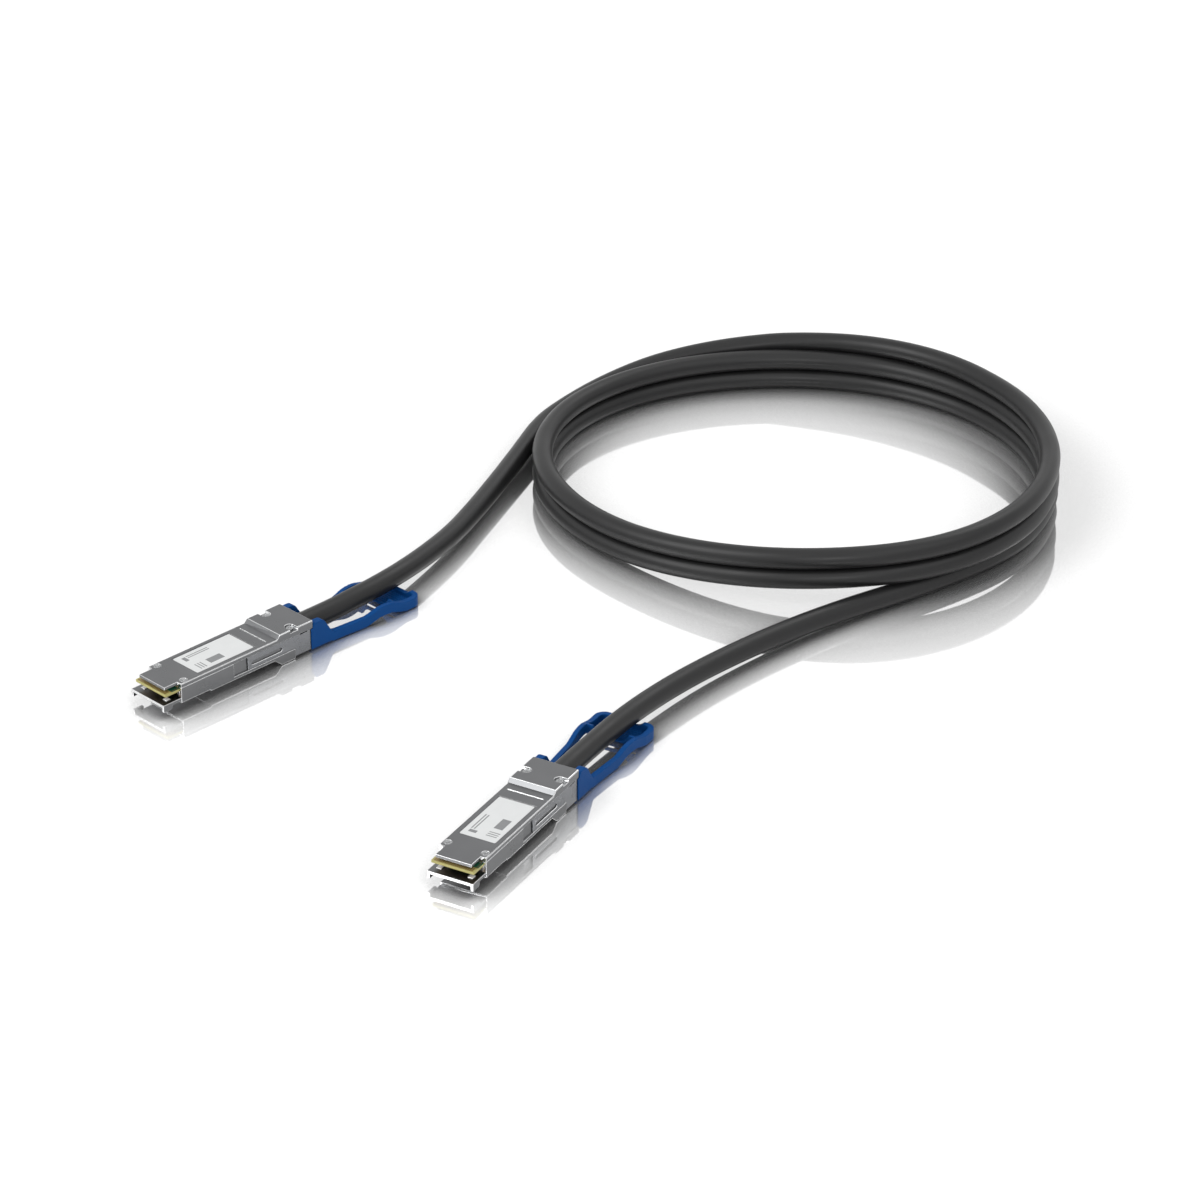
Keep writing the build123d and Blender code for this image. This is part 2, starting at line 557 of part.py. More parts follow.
# Pull tab: its side outline, cut to its outline from above
with BuildPart() as pull_tab:
    hump_end = HUMP_START + HUMP_RUN + HUMP_TOP_LENGTH
    blank_end = TAB_LENGTH + PAD_RIM
    cheek_rounds = [0, CHEEK_FRONT_ROUND, CHEEK_BACK_ROUND, CHEEK_FOOT_ROUND]
    hump_rounds = [HUMP_BEND] * 4
    with BuildSketch(Plane.XZ):
        with BuildLine():
            FilletPolyline(
                (-TAB_GAP, CHEEK_BOTTOM),
                (-TAB_GAP, CHEEK_TOP),
                (-CHEEK_CROWN, CHEEK_TOP),
                (-CHEEK_LENGTH, ARM_TOP),
                (-HUMP_START, ARM_TOP),
                (-HUMP_START - HUMP_RUN, ARM_TOP + HUMP_RISE),
                (-hump_end, ARM_TOP + HUMP_RISE),
                (-HUMP_FOOT, ARM_TOP),
                (-blank_end, ARM_TOP),
                (-blank_end, TAB_BOTTOM),
                (-HUMP_FOOT, TAB_BOTTOM),
                (-hump_end, TAB_BOTTOM + HUMP_RISE),
                (-HUMP_START - HUMP_RUN, TAB_BOTTOM + HUMP_RISE),
                (-HUMP_START, TAB_BOTTOM),
                (-CHEEK_LENGTH, TAB_BOTTOM),
                (-CHEEK_LENGTH + CHEEK_BOTTOM, CHEEK_BOTTOM),
                radius=[*cheek_rounds, *hump_rounds, 0, 0, *hump_rounds, 0, 0],
                close=True,
            )
        make_face()
    extrude(amount=PAD_HALF_WIDTH + ARM_THICKNESS, both=True)
    # Outline from above, with the loop's window taken out
    with BuildSketch(Plane.XY) as outline:
        arm_front = CHEEK_LENGTH + ARM_THICKNESS
        with BuildLine():
            Polyline(
                (TAB_GAP, TAB_HALF_WIDTH),
                (-arm_front, TAB_HALF_WIDTH),
                (-HUMP_FOOT, PAD_HALF_WIDTH),
                (-TAB_LENGTH, PAD_HALF_WIDTH),
                (-TAB_LENGTH, -PAD_HALF_WIDTH),
                (-HUMP_FOOT, -PAD_HALF_WIDTH),
                (-arm_front, -TAB_HALF_WIDTH),
                (TAB_GAP, -TAB_HALF_WIDTH),
                close=True,
            )
        make_face()
        fillet(outline.vertices().group_by(Axis.X)[0], PAD_CORNER)
        window_half = PAD_HALF_WIDTH - ARM_THICKNESS
        arm_inner = TAB_HALF_WIDTH - ARM_THICKNESS
        with BuildLine():
            Polyline(
                (TAB_GAP, CHEEK_INNER),
                (-CHEEK_LENGTH, CHEEK_INNER),
                (-arm_front, arm_inner),
                (-PAD_START, window_half),
                (-PAD_START, -window_half),
                (-arm_front, -arm_inner),
                (-CHEEK_LENGTH, -CHEEK_INNER),
                (TAB_GAP, -CHEEK_INNER),
                close=True,
            )
        make_face(mode=Mode.SUBTRACT)
    extrude(amount=CHEEK_TOP + TAB_GAP, mode=Mode.INTERSECT)
    # Saddle over the pad, so that the cable passes above it
    saddle_height = CABLE_DIAMETER + 2 * SADDLE_ROOM
    with BuildSketch(Plane.YZ.offset(-PAD_START + PAD_FRONT_RIM)):
        with Locations((0, CABLE_HEIGHT + SADDLE_RISE)):
            SlotOverall(SADDLE_WIDTH, saddle_height)
    extrude(amount=PAD_START - TAB_LENGTH - 2 * PAD_FRONT_RIM, mode=Mode.SUBTRACT)
    # Recess of the pad, and the ribs across it
    recess_start = -TAB_LENGTH + PAD_RIM
    recess_end = -PAD_START - PAD_FRONT_RIM
    recess_half = PAD_HALF_WIDTH - ARM_THICKNESS
    pad_floor = TAB_BOTTOM + PAD_PLATE
    with BuildSketch(Plane.XY.offset(pad_floor)) as recess:
        with Locations(((recess_start + recess_end) / 2, 0)):
            Rectangle(recess_end - recess_start, 2 * recess_half)
        fillet(recess.vertices().group_by(Axis.X)[0], PAD_CORNER - PAD_RIM)
    extrude(amount=CHEEK_TOP, mode=Mode.SUBTRACT)
    rib_pitch = (recess_end - recess_start) / (PAD_RIBS + 1)
    for rib in range(PAD_RIBS):
        rib_place = recess_start + (rib + 1) * rib_pitch
        rib_start = rib_place - PAD_RIB_WIDTH / 2
        rib_end = rib_place + PAD_RIB_WIDTH / 2
        rib_half = recess_half - PAD_RIB_WIDTH
        block(rib_start, rib_end, -rib_half, rib_half, pad_floor, pad_floor + PAD_RIB_HEIGHT)
    for side in SIDES:
        # Lip over the rear end of the latch slide
        lip_inner = LATCH_OUTER + LATCH_FIT
        lip_top = LATCH_TOP - LATCH_FIT
        block(-TAB_GAP, CHEEK_LIP, side * lip_inner, side * TAB_HALF_WIDTH, CHEEK_BOTTOM, lip_top)
        # Slot that holds the insert of the latch slide
        block(
            -LATCH_INSERT - LATCH_FIT,
            CHEEK_LIP,
            side * (LATCH_INNER - LATCH_FIT),
            side * lip_inner,
            insert_bottom - LATCH_FIT,
            insert_top + LATCH_FIT,
            Mode.SUBTRACT,
        )


def route_radii(points):
    """The largest even arc at each inner point of a route, from its shorter run and its turn."""
    radii = []
    for before, here, after in zip(points, points[1:], points[2:]):
        run_in = Vector(here) - Vector(before)
        run_out = Vector(after) - Vector(here)
        turn = radians(run_in.get_angle(run_out))
        radii.append(ARC_SHARE * min(run_in.length, run_out.length) / tan(turn / 2))
    return radii


def wire_pair(position, above):
    """One wire pair from the ferrule to its place on the card, above or below it."""
    number = position - (PAIRS_PER_SIDE - 1) / 2
    lift = 1 if above else -1
    ferrule_spot = (number * PAIR_PITCH_AT_FERRULE, CABLE_HEIGHT + lift * PAIR_RISE_AT_FERRULE)
    card_face = CARD_TOP if above else CARD_BOTTOM
    card_spot = (number * PAIR_PITCH_ON_CARD, card_face + lift * (PAIR_DIAMETER / 2 + PAIR_GAP))
    with BuildPart() as pair:
        with BuildLine() as route:
            FilletPolyline(
                (JACKET_DEPTH, *ferrule_spot),
                (BLOCK_LENGTH, *ferrule_spot),
                (CARD_REAR - PAIR_LAP, *card_spot),
                (CARD_REAR + PAIR_LAP, *card_spot),
                radius=PAIR_BEND,
            )
        with BuildSketch(Plane(origin=route.line @ 0, z_dir=route.line % 0)):
            Circle(PAIR_DIAMETER / 2)
        sweep()
    return pair.part


def coil_point(angle, height):
    """A point of the coil's middle line, seen from above at an angle about the coil's middle."""
    oval = COIL_OVAL * cos(radians(2 * (angle - COIL_OVAL_TURN)))
    lobe = COIL_LOBE * cos(radians(3 * (angle - COIL_LOBE_TURN)))
    reach = COIL_RADIUS + oval + lobe
    return (COIL_X + reach * cos(radians(angle)), COIL_Y + reach * sin(radians(angle)), height)


def sector(first, last):
    """A flat sector about the coil's middle that reaches past the coil, between two angles."""
    reach = 2 * COIL_RADIUS
    turn = (last - first) / SECTOR_STEPS
    angles = [first + turn * step for step in range(SECTOR_STEPS + 1)]
    rim = [(COIL_X + reach * cos(radians(a)), COIL_Y + reach * sin(radians(a))) for a in angles]
    return Polygon((COIL_X, COIL_Y), *rim, align=None)


def lead(points, name):
    """A tube of the cable along a route of straight runs joined by large arcs."""
    radii = route_radii(points)
    with BuildPart() as tube:
        with BuildLine() as route:
            FilletPolyline(*points, radius=radii)
        with BuildSketch(Plane(origin=route.line @ 0, z_dir=route.line % 0)):
            Circle(CABLE_RADIUS)
        sweep()
    length = route.wire().length
    print(name, "length", round(length, 1), "section", round(tube.part.volume / length, 2))
    print(name, "radii", [round(radius) for radius in radii])
    return tube.part


def coil_ring(bottom, top, width):
    """The closed ring of a stack of strands between two heights, with rounded edges."""
    corner_turn = 360 / COIL_CORNERS
    spread = 1 / cos(radians(corner_turn / 2))
    corners = []
    for corner in range(COIL_CORNERS):
        x, y, z = coil_point(corner * corner_turn, (bottom + top) / 2)
        corners.append((COIL_X + (x - COIL_X) * spread, COIL_Y + (y - COIL_Y) * spread, z))
    with BuildPart() as ring:
        with BuildLine() as route:
            FilletPolyline(*corners, radius=route_radii([corners[-1], *corners, corners[0]]), close=True)
        with BuildSketch(Plane(origin=route.line @ 0, x_dir=(0, 0, 1), z_dir=route.line % 0)):
            RectangleRounded(top - bottom, width, COIL_ROUND - CABLE_RADIUS + width / 2)
        sweep()
    return ring.part


# Coil of the cable: two strands all round, and a third that climbs on to them and ends
strands_ring = coil_ring(0, STRAND_PITCH + CABLE_DIAMETER, CABLE_DIAMETER)
upper_ring = coil_ring(STRAND_PITCH, COIL_HEIGHT, CABLE_DIAMETER - STRAND_GAP)
with BuildPart() as cable_coil:
    low_room = STRAND_PITCH + STRAND_GAP
    high_room = STRAND_PITCH + CABLE_DIAMETER
    add(upper_ring)
    # The highest strand is kept from its climb to its face to the first lead
    with BuildSketch(Plane.XY):
        sector(COIL_END_ANGLE, COIL_END_ANGLE + HIGH_CUT_ANGLE)
    extrude(amount=COIL_HEIGHT, mode=Mode.SUBTRACT)
    with BuildSketch(Plane.YZ.offset(COIL_X)):
        Polygon(
            (COIL_Y - 2 * COIL_RADIUS, 0),
            (CLIMB_START_Y, 0),
            (CLIMB_START_Y, high_room),
            (CLIMB_END_Y, COIL_HEIGHT),
            (COIL_Y - 2 * COIL_RADIUS, COIL_HEIGHT),
            align=None,
        )
    extrude(amount=2 * COIL_RADIUS, mode=Mode.SUBTRACT)
    add(strands_ring)
    # The lowest strand is cut away under its climb, up to its face to the second lead
    with BuildSketch(Plane.XY):
        sector(COIL_START_ANGLE - LOW_CUT_ANGLE, COIL_START_ANGLE)
    extrude(amount=low_room, mode=Mode.SUBTRACT)
    with BuildSketch(Plane.YZ.offset(COIL_X)):
        Polygon(
            (CLIMB_START_Y, 0),
            (CLIMB_END_Y, low_room),
            (COIL_Y + 2 * COIL_RADIUS, low_room),
            (COIL_Y + 2 * COIL_RADIUS, 0),
            align=None,
        )
    extrude(amount=2 * COIL_RADIUS, mode=Mode.SUBTRACT)

# Free leads, from inside each head to the coil
jacket_end = Location((JACKET_DEPTH, 0, CABLE_HEIGHT))
first_end = tuple((FIRST_SEAT * jacket_end).position)
second_end = tuple((SECOND_SEAT * jacket_end).position)
coil_low_end = coil_point(COIL_START_ANGLE, CABLE_RADIUS)
coil_high_end = coil_point(COIL_END_ANGLE, COIL_HEIGHT - CABLE_RADIUS)
cable_lead_b = lead([second_end, *LEAD_B_POINTS, coil_low_end], "cable_lead_b")
cable_lead_a = lead([coil_high_end, *LEAD_A_POINTS, first_end], "cable_lead_a")

# Pieces of one connector, each in the connector's own frame
front_screw = screw(FRONT_SCREW_LENGTH)
rear_screw = screw(REAR_SCREW_LENGTH)
front_screw_height = BODY_TOP - SCREW_HEAD_HEIGHT
pieces = {
    "lower_shell": lower_shell.part,
    "top_cover": top_cover.part,
    "paddle_card": paddle_card.part,
    "memory_chip": memory_chip.part,
    "label": label_plate.part,
    "crimp_ferrule": crimp_ferrule.part,
    "pull_tab": pull_tab.part,
}
for side, hand in zip(SIDES, ("left", "right")):
    front_place = Location((FRONT_SCREW_PLACE, side * FRONT_SCREW_SPREAD / 2, front_screw_height))
    rear_place = Location((REAR_SCREW_PLACE, side * REAR_SCREW_SPREAD / 2, NOTCH_FLOOR))
    pieces["front_screw_" + hand] = front_screw.moved(front_place)
    pieces["rear_screw_" + hand] = rear_screw.moved(rear_place)
pieces["latch_arm_left"] = latch_arm.part
pieces["latch_arm_right"] = mirror(latch_arm.part, about=Plane.XZ)
pieces["return_spring_left"] = return_spring.part
pieces["return_spring_right"] = mirror(return_spring.part, about=Plane.XZ)
for position in range(PAIRS_PER_SIDE):
    pieces[f"twinax_pair_{position + 1}"] = wire_pair(position, above=True)
    pieces[f"twinax_pair_{position + 1 + PAIRS_PER_SIDE}"] = wire_pair(position, above=False)

# Both connectors in place, and the cable between them
os.makedirs("parts", exist_ok=True)
nodes = {"cable_lead_a": cable_lead_a, "cable_coil": cable_coil.part, "cable_lead_b": cable_lead_b}
for letter, seat in (("a", FIRST_SEAT), ("b", SECOND_SEAT)):
    for name, piece in pieces.items():
        nodes[f"{name}_{letter}"] = piece.moved(seat)
for name, node in nodes.items():
    node.label = name
    export_step(node, f"parts/{name}.step")
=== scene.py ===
"""Looks of a direct attach copper cable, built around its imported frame.

Two metal connectors with blue pull tabs lie on a pale floor at the ends of one coiled cable.
Sizes of the part's pieces are millimetres, and the studio's are metres. Every finished mesh is in
metres in the part's frame.
"""

import logging
import math
from dataclasses import dataclass, field, replace
from enum import Enum

import bmesh
import bpy
from mathutils import Matrix, Vector


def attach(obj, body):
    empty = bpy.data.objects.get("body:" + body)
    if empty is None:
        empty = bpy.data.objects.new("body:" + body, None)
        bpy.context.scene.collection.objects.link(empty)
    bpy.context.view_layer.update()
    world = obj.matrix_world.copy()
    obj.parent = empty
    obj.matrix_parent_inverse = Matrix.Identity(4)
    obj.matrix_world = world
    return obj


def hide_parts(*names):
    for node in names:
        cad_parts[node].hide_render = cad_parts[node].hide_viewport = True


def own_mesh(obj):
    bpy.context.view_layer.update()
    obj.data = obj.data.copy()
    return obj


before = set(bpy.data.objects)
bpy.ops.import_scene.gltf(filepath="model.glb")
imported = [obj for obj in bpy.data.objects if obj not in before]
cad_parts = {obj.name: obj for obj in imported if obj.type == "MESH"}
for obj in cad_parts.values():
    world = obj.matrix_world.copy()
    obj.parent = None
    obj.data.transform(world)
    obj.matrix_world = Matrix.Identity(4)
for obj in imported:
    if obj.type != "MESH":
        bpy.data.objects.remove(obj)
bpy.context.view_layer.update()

MM = 0.001
FULL_TURN = 360
MERGE_DISTANCE = 0.001 * MM
WHITE = (1.0, 1.0, 1.0, 1.0)
FACE_SLOT = 0
EDGE_SLOT = 1
LOG = logging.getLogger("copper_cable")
Point = tuple[float, float, float]
Colour = tuple[float, float, float]


class Body(Enum):
    """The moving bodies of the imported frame."""

    FIXED = "cable_and_shells"
    TAB_A = "tab_a"
    TAB_B = "tab_b"


class Slot(Enum):
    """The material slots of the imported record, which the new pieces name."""

    CAST = "cast_metal"
    LATCH = "latch_steel"
    SCREW = "screw_steel"
    SPRING = "spring_steel"
    BOARD = "circuit_board"
    LABEL = "label_film"
    TAB = "tab_plastic"
    JACKET = "jacket"


def mapped(
    tree: bpy.types.NodeTree,
    value: bpy.types.NodeSocket,
    given: tuple[float, float],
    wanted: tuple[float, float],
) -> bpy.types.NodeSocket:
    """Adds a node that maps one range of values to another.

    Args:
        tree: The node tree that gets the node.
        value: The socket whose values are mapped.
        given: The lowest and the highest value that come in.
        wanted: The values that these two become.

    Returns:
        The mapped value's socket.
    """
    node = tree.nodes.new("ShaderNodeMapRange")
    node.inputs["From Min"].default_value = given[0]
    node.inputs["From Max"].default_value = given[1]
    node.inputs["To Min"].default_value = wanted[0]
    node.inputs["To Max"].default_value = wanted[1]
    tree.links.new(value, node.inputs["Value"])
    return node.outputs["Result"]


def reckoned(
    tree: bpy.types.NodeTree, operation: str, *values: bpy.types.NodeSocket | float
) -> bpy.types.NodeSocket:
    """Adds a math node.

    Args:
        tree: The node tree that gets the node.
        operation: The node's operation.
        values: The sockets or the plain numbers that it reads.

    Returns:
        The result's socket.
    """
    node = tree.nodes.new("ShaderNodeMath")
    node.operation = operation
    for value, socket in zip(values, node.inputs):
        if isinstance(value, bpy.types.NodeSocket):
            tree.links.new(value, socket)
        else:
            socket.default_value = value
    return node.outputs["Value"]


@dataclass(frozen=True)
class Finish:
    """A procedural surface: a mottled colour, a varied roughness and a fine grain.

    Lengths are millimetres. The grain and the mottle read Object coordinates.
    """

    name: str
    dark: Colour
    light: Colour
    metallic: float = 0.0
    smoothest: float = 0.3
    roughest: float = 0.4
    specular: float = 0.5
    mottle_size: float = 6.0
    mottle_detail: float = 3.0
    mottle_range: tuple[float, float] = (0.3, 0.7)
    grain_size: float = 0.25
    grain_detail: float = 2.0
    grain_depth: float = 0.01
    grain_share: float = 0.3

    def material(self) -> bpy.types.Material:
        """Makes the node material of this finish.

        Returns:
            The new material.
        """
        made = bpy.data.materials.new(self.name)
        made.use_nodes = True
        nodes = made.node_tree.nodes
        links = made.node_tree.links
        shader = nodes["Principled BSDF"]
        shader.inputs["Metallic"].default_value = self.metallic
        shader.inputs["Specular IOR Level"].default_value = self.specular
        place = nodes.new("ShaderNodeTexCoord").outputs["Object"]
        mottle = self.noise(made, place, self.mottle_size, self.mottle_detail)
        colour = nodes.new("ShaderNodeMix")
        colour.data_type = "RGBA"
        colour.inputs["A"].default_value = (*self.dark, 1.0)
        colour.inputs["B"].default_value = (*self.light, 1.0)
        links.new(mottle, colour.inputs["Factor"])
        links.new(self.tint(made, place, colour.outputs["Result"]), shader.inputs["Base Color"])
        grain = self.noise(made, place, self.grain_size, self.grain_detail)
        gloss = mapped(made.node_tree, mottle, self.mottle_range, (self.smoothest, self.roughest))
        links.new(gloss, shader.inputs["Roughness"])
        bump = nodes.new("ShaderNodeBump")
        bump.inputs["Strength"].default_value = self.grain_share
        bump.inputs["Distance"].default_value = self.grain_depth * MM
        links.new(grain, bump.inputs["Height"])
        links.new(bump.outputs["Normal"], shader.inputs["Normal"])
        return made

    def tint(
        self, made: bpy.types.Material, place: bpy.types.NodeSocket, colour: bpy.types.NodeSocket
    ) -> bpy.types.NodeSocket:
        """Gives the colour that reaches the shader, which plain finishes leave as it is."""
        return colour

    @staticmethod
    def noise(
        made: bpy.types.Material, place: bpy.types.NodeSocket, size: float, detail: float
    ) -> bpy.types.NodeSocket:
        """Adds a noise texture of a given size.

        Args:
            made: The material that gets the texture.
            place: The coordinates that the texture reads.
            size: The size of a patch in millimetres.
            detail: The noise's detail.

        Returns:
            The texture's value socket.
        """
        texture = made.node_tree.nodes.new("ShaderNodeTexNoise")
        texture.inputs["Scale"].default_value = 1.0 / (size * MM)
        texture.inputs["Detail"].default_value = detail
        made.node_tree.links.new(place, texture.inputs["Vector"])
        return texture.outputs["Fac"]


@dataclass(frozen=True)
class BoardFinish(Finish):
    """A circuit board: solder mask behind its mating edge, bare laminate at the edge and sides."""

    laminate: Colour = (0.37, 0.335, 0.115)
    mask_end: float = 66.6
    blend_length: float = 0.2
    level_facing: float = 0.5
    origin: Point = (0.0, 0.0, 0.0)
    turn: float = 0.0

    def tint(
        self, made: bpy.types.Material, place: bpy.types.NodeSocket, colour: bpy.types.NodeSocket
    ) -> bpy.types.NodeSocket:
        """Puts laminate before the mask's end and on upright faces.

        Args:
            made: The board's material.
            place: Object coordinates.
            colour: The solder mask's colour.

        Returns:
            The colour of the whole board.
        """
        tree = made.node_tree
        nodes = tree.nodes
        links = tree.links
        local = nodes.new("ShaderNodeMapping")
        local.vector_type = "TEXTURE"
        local.inputs["Location"].default_value = self.origin
        local.inputs["Rotation"].default_value = (0.0, 0.0, self.turn)
        links.new(place, local.inputs["Vector"])
        along = nodes.new("ShaderNodeSeparateXYZ")
        links.new(local.outputs["Vector"], along.inputs["Vector"])
        mask_edge = (self.mask_end * MM, (self.mask_end + self.blend_length) * MM)
        bare = mapped(tree, along.outputs["X"], mask_edge, (0.0, 1.0))
        facing = nodes.new("ShaderNodeSeparateXYZ")
        links.new(nodes.new("ShaderNodeNewGeometry").outputs["Normal"], facing.inputs["Vector"])
        level = reckoned(tree, "ABSOLUTE", facing.outputs["Z"])
        upright = reckoned(tree, "LESS_THAN", level, self.level_facing)
        either = reckoned(tree, "MAXIMUM", bare, upright)
        mixed = nodes.new("ShaderNodeMix")
        mixed.data_type = "RGBA"
        mixed.inputs["B"].default_value = (*self.laminate, 1.0)
        links.new(either, mixed.inputs["Factor"])
        links.new(colour, mixed.inputs["A"])
        return mixed.outputs["Result"]


@dataclass(frozen=True)
class Seat:
    """Where a connector lies: its rest rib's middle on the floor and its turn in degrees."""

    x: float
    y: float
    turn: float
    rib_centre: float = 11.95

    def matrix(self) -> Matrix:
        """Gives the matrix from the connector's own millimetres to the part's metres.

        Returns:
            The matrix.
        """
        placed = Matrix.Translation((self.x * MM, self.y * MM, 0.0))
        turned = Matrix.Rotation(math.radians(self.turn), 4, "Z")
        shifted = Matrix.Translation((-self.rib_centre * MM, 0.0, 0.0))
        return placed @ turned @ shifted @ Matrix.Diagonal((MM, MM, MM, 1.0))

    def point(self, along: float, across: float, height: float) -> Vector:
        """Gives a point of the connector's own frame in the part's metres."""
        return self.matrix() @ Vector((along, across, height))

    def forward(self) -> Vector:
        """Gives the direction from the connector's rear face to its mating end."""
        return Vector((math.cos(math.radians(self.turn)), math.sin(math.radians(self.turn)), 0.0))


class Palette:
    """The materials of all the finishes, made once."""

    def __init__(self) -> None:
        """Makes every material."""
        self.cast = Finish(
            name="satin_die_cast",
            dark=(0.145, 0.148, 0.152),
            light=(0.172, 0.174, 0.179),
            metallic=1.0,
            smoothest=0.27,
            roughest=0.34,
            mottle_size=9.0,
            grain_size=0.35,
            grain_depth=0.012,
            grain_share=0.22,
        ).material()
        self.latch = Finish(
            name="rolled_steel",
            dark=(0.185, 0.19, 0.2),
            light=(0.22, 0.225, 0.235),
            metallic=1.0,
            smoothest=0.24,
            roughest=0.32,
            mottle_size=5.0,
            grain_size=0.3,
            grain_depth=0.008,
            grain_share=0.2,
        ).material()
        # Bright metal for the rounded edges, partly edge wear and partly a painted highlight; on
        # forward faces and slot lips it is only a painted highlight.
        self.edge = Finish(
            name="edge_wear_and_painted_highlight",
            dark=(0.62, 0.625, 0.63),
            light=(0.74, 0.745, 0.75),
            metallic=1.0,
            smoothest=0.2,
            roughest=0.3,
            mottle_size=3.0,
            grain_size=0.3,
            grain_depth=0.006,
            grain_share=0.2,
        ).material()
        self.screw = Finish(
            name="screw_steel",
            dark=(0.3, 0.305, 0.31),
            light=(0.38, 0.385, 0.39),
            metallic=1.0,
            smoothest=0.22,
            roughest=0.3,
            mottle_size=1.0,
            grain_size=0.2,
            grain_depth=0.005,
        ).material()
        self.spring = Finish(
            name="spring_wire",
            dark=(0.3, 0.3, 0.31),
            light=(0.38, 0.38, 0.39),
            metallic=1.0,
            smoothest=0.2,
            roughest=0.3,
            mottle_size=1.0,
            grain_size=0.1,
            grain_depth=0.003,
        ).material()
        self.brass = Finish(
            name="ferrule_brass",
            dark=(0.5, 0.36, 0.15),
            light=(0.62, 0.46, 0.2),
            metallic=1.0,
            smoothest=0.25,
            roughest=0.38,
            mottle_size=2.0,
            grain_size=0.2,
            grain_depth=0.005,
        ).material()
        gold = Finish(
            name="gold_plate",
            dark=(0.17, 0.075, 0.03),
            light=(0.25, 0.115, 0.045),
            metallic=0.35,
            smoothest=0.25,
            roughest=0.35,
            mottle_size=0.8,
            grain_size=0.1,
            grain_depth=0.003,
        )
        self.gold = gold.material()
        # A lighter copy of the gold for the lower contacts: painted light standing in for light
        # that does not reach under the card.
        self.painted_lit_gold = replace(
            gold,
            name="lower_gold_painted_light",
            dark=(0.5, 0.3, 0.16),
            light=(0.6, 0.37, 0.2),
        ).material()
        self.nickel = Finish(
            name="nickel_pad",
            dark=(0.78, 0.785, 0.79),
            light=(0.86, 0.865, 0.87),
            metallic=0.15,
            mottle_size=0.8,
            grain_size=0.1,
            grain_depth=0.003,
        ).material()
        self.chip = Finish(
            name="chip_moulding",
            dark=(0.012, 0.012, 0.013),
            light=(0.02, 0.02, 0.021),
            smoothest=0.45,
            roughest=0.6,
            mottle_size=1.0,
            grain_size=0.08,
        ).material()
        self.sleeve = Finish(
            name="pair_sleeve",
            dark=(0.09, 0.1, 0.13),
            light=(0.14, 0.15, 0.18),
            metallic=0.3,
            roughest=0.45,
            mottle_size=1.5,
            grain_size=0.3,
        ).material()
        self.label = Finish(
            name="label_film",
            dark=(0.64, 0.65, 0.65),
            light=(0.7, 0.71, 0.71),
            smoothest=0.35,
            roughest=0.45,
            specular=0.3,
            mottle_size=4.0,
            grain_size=0.12,
            grain_depth=0.004,
        ).material()
        self.print = Finish(
            name="label_print",
            dark=(0.2, 0.205, 0.21),
            light=(0.25, 0.255, 0.26),
            smoothest=0.4,
            roughest=0.5,
            specular=0.3,
            mottle_size=1.0,
            grain_size=0.1,
            grain_depth=0.002,
        ).material()
        self.tab = Finish(
            name="blue_moulding",
            dark=(0.003, 0.05, 0.19),
            light=(0.0045, 0.058, 0.218),
            smoothest=0.45,
            roughest=0.55,
            specular=0.07,
            mottle_size=7.0,
            grain_size=0.22,
            grain_depth=0.02,
            grain_share=0.25,
        ).material()
        self.jacket = Finish(
            name="cable_jacket",
            dark=(0.0105, 0.0105, 0.0108),
            light=(0.0145, 0.0145, 0.0148),
            smoothest=0.36,
            roughest=0.44,
            specular=0.3,
            mottle_size=14.0,
            grain_size=0.4,
            grain_depth=0.02,
            grain_share=0.25,
        ).material()

    def board(self, seat: Seat) -> bpy.types.Material:
        """Makes the circuit board material of one connector.

        Args:
            seat: Where the connector lies, so that the mask ends in the right place.

        Returns:
            The board's material.
        """
        return BoardFinish(
            name="circuit_board",
            dark=(0.009, 0.078, 0.04),
            light=(0.014, 0.108, 0.057),
            specular=0.4,
            mottle_size=2.5,
            grain_size=0.3,
            origin=tuple(seat.point(0.0, 0.0, 0.0)),
            turn=math.radians(seat.turn),
        ).material()


def evaluated_mesh(holder: bpy.types.Object, name: str) -> bpy.types.Mesh:
    """Turns an object with modifiers into a plain mesh and removes the object.

    Args:
        holder: The object whose modifiers are applied.
        name: The new mesh's name.

    Returns:
        The plain mesh.
    """
    depsgraph = bpy.context.evaluated_depsgraph_get()
    made = bpy.data.meshes.new_from_object(
        holder.evaluated_get(depsgraph), preserve_all_data_layers=True, depsgraph=depsgraph
    )
    made.name = name
    bpy.data.objects.remove(holder)
    return made


def linked(name: str, data: bpy.types.ID) -> bpy.types.Object:
    """Puts a mesh, a curve, a light or a camera in the scene.

    Args:
        name: The new object's name.
        data: What the object holds.

    Returns:
        The new object.
    """
    made = bpy.data.objects.new(name, data)
    bpy.context.scene.collection.objects.link(made)
    return made


def dress(mesh: bpy.types.Mesh, *materials: bpy.types.Material) -> None:
    """Gives a mesh its materials.

    Args:
        mesh: The mesh to dress.
        materials: Its materials, in the order of its material slots.
    """
    mesh.materials.clear()
    for material in materials:
        mesh.materials.append(material)


def show(
    name: str,
    mesh: bpy.types.Mesh,
    body: Body,
    slot: Slot,
    *nodes: str,
) -> bpy.types.Object:
    """Shows a finished mesh as a piece of the part.

    Args:
        name: The piece's name.
        mesh: Its dressed mesh, in the part's metres.
        body: The body that it rides on.
        slot: The record's slot; it is not used.
        nodes: The CAD nodes that it stands for.

    Returns:
        The piece.
    """
    piece = linked(name, mesh)
    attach(piece, body.value)
    if nodes:
        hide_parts(*nodes)
    LOG.info("%s: %d faces on %s", name, len(mesh.polygons), body.value)
    return piece


def merged_copy(node: str) -> bpy.types.Mesh:
    """Copies a node's loose triangles as one closed mesh.

    Args:
        node: The node's name.

    Returns:
        The merged mesh.
    """
    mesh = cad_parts[node].data.copy()
    work = bmesh.new()
    work.from_mesh(mesh)
    bmesh.ops.remove_doubles(work, verts=work.verts, dist=MERGE_DISTANCE)
    work.to_mesh(mesh)
    work.free()
    return mesh


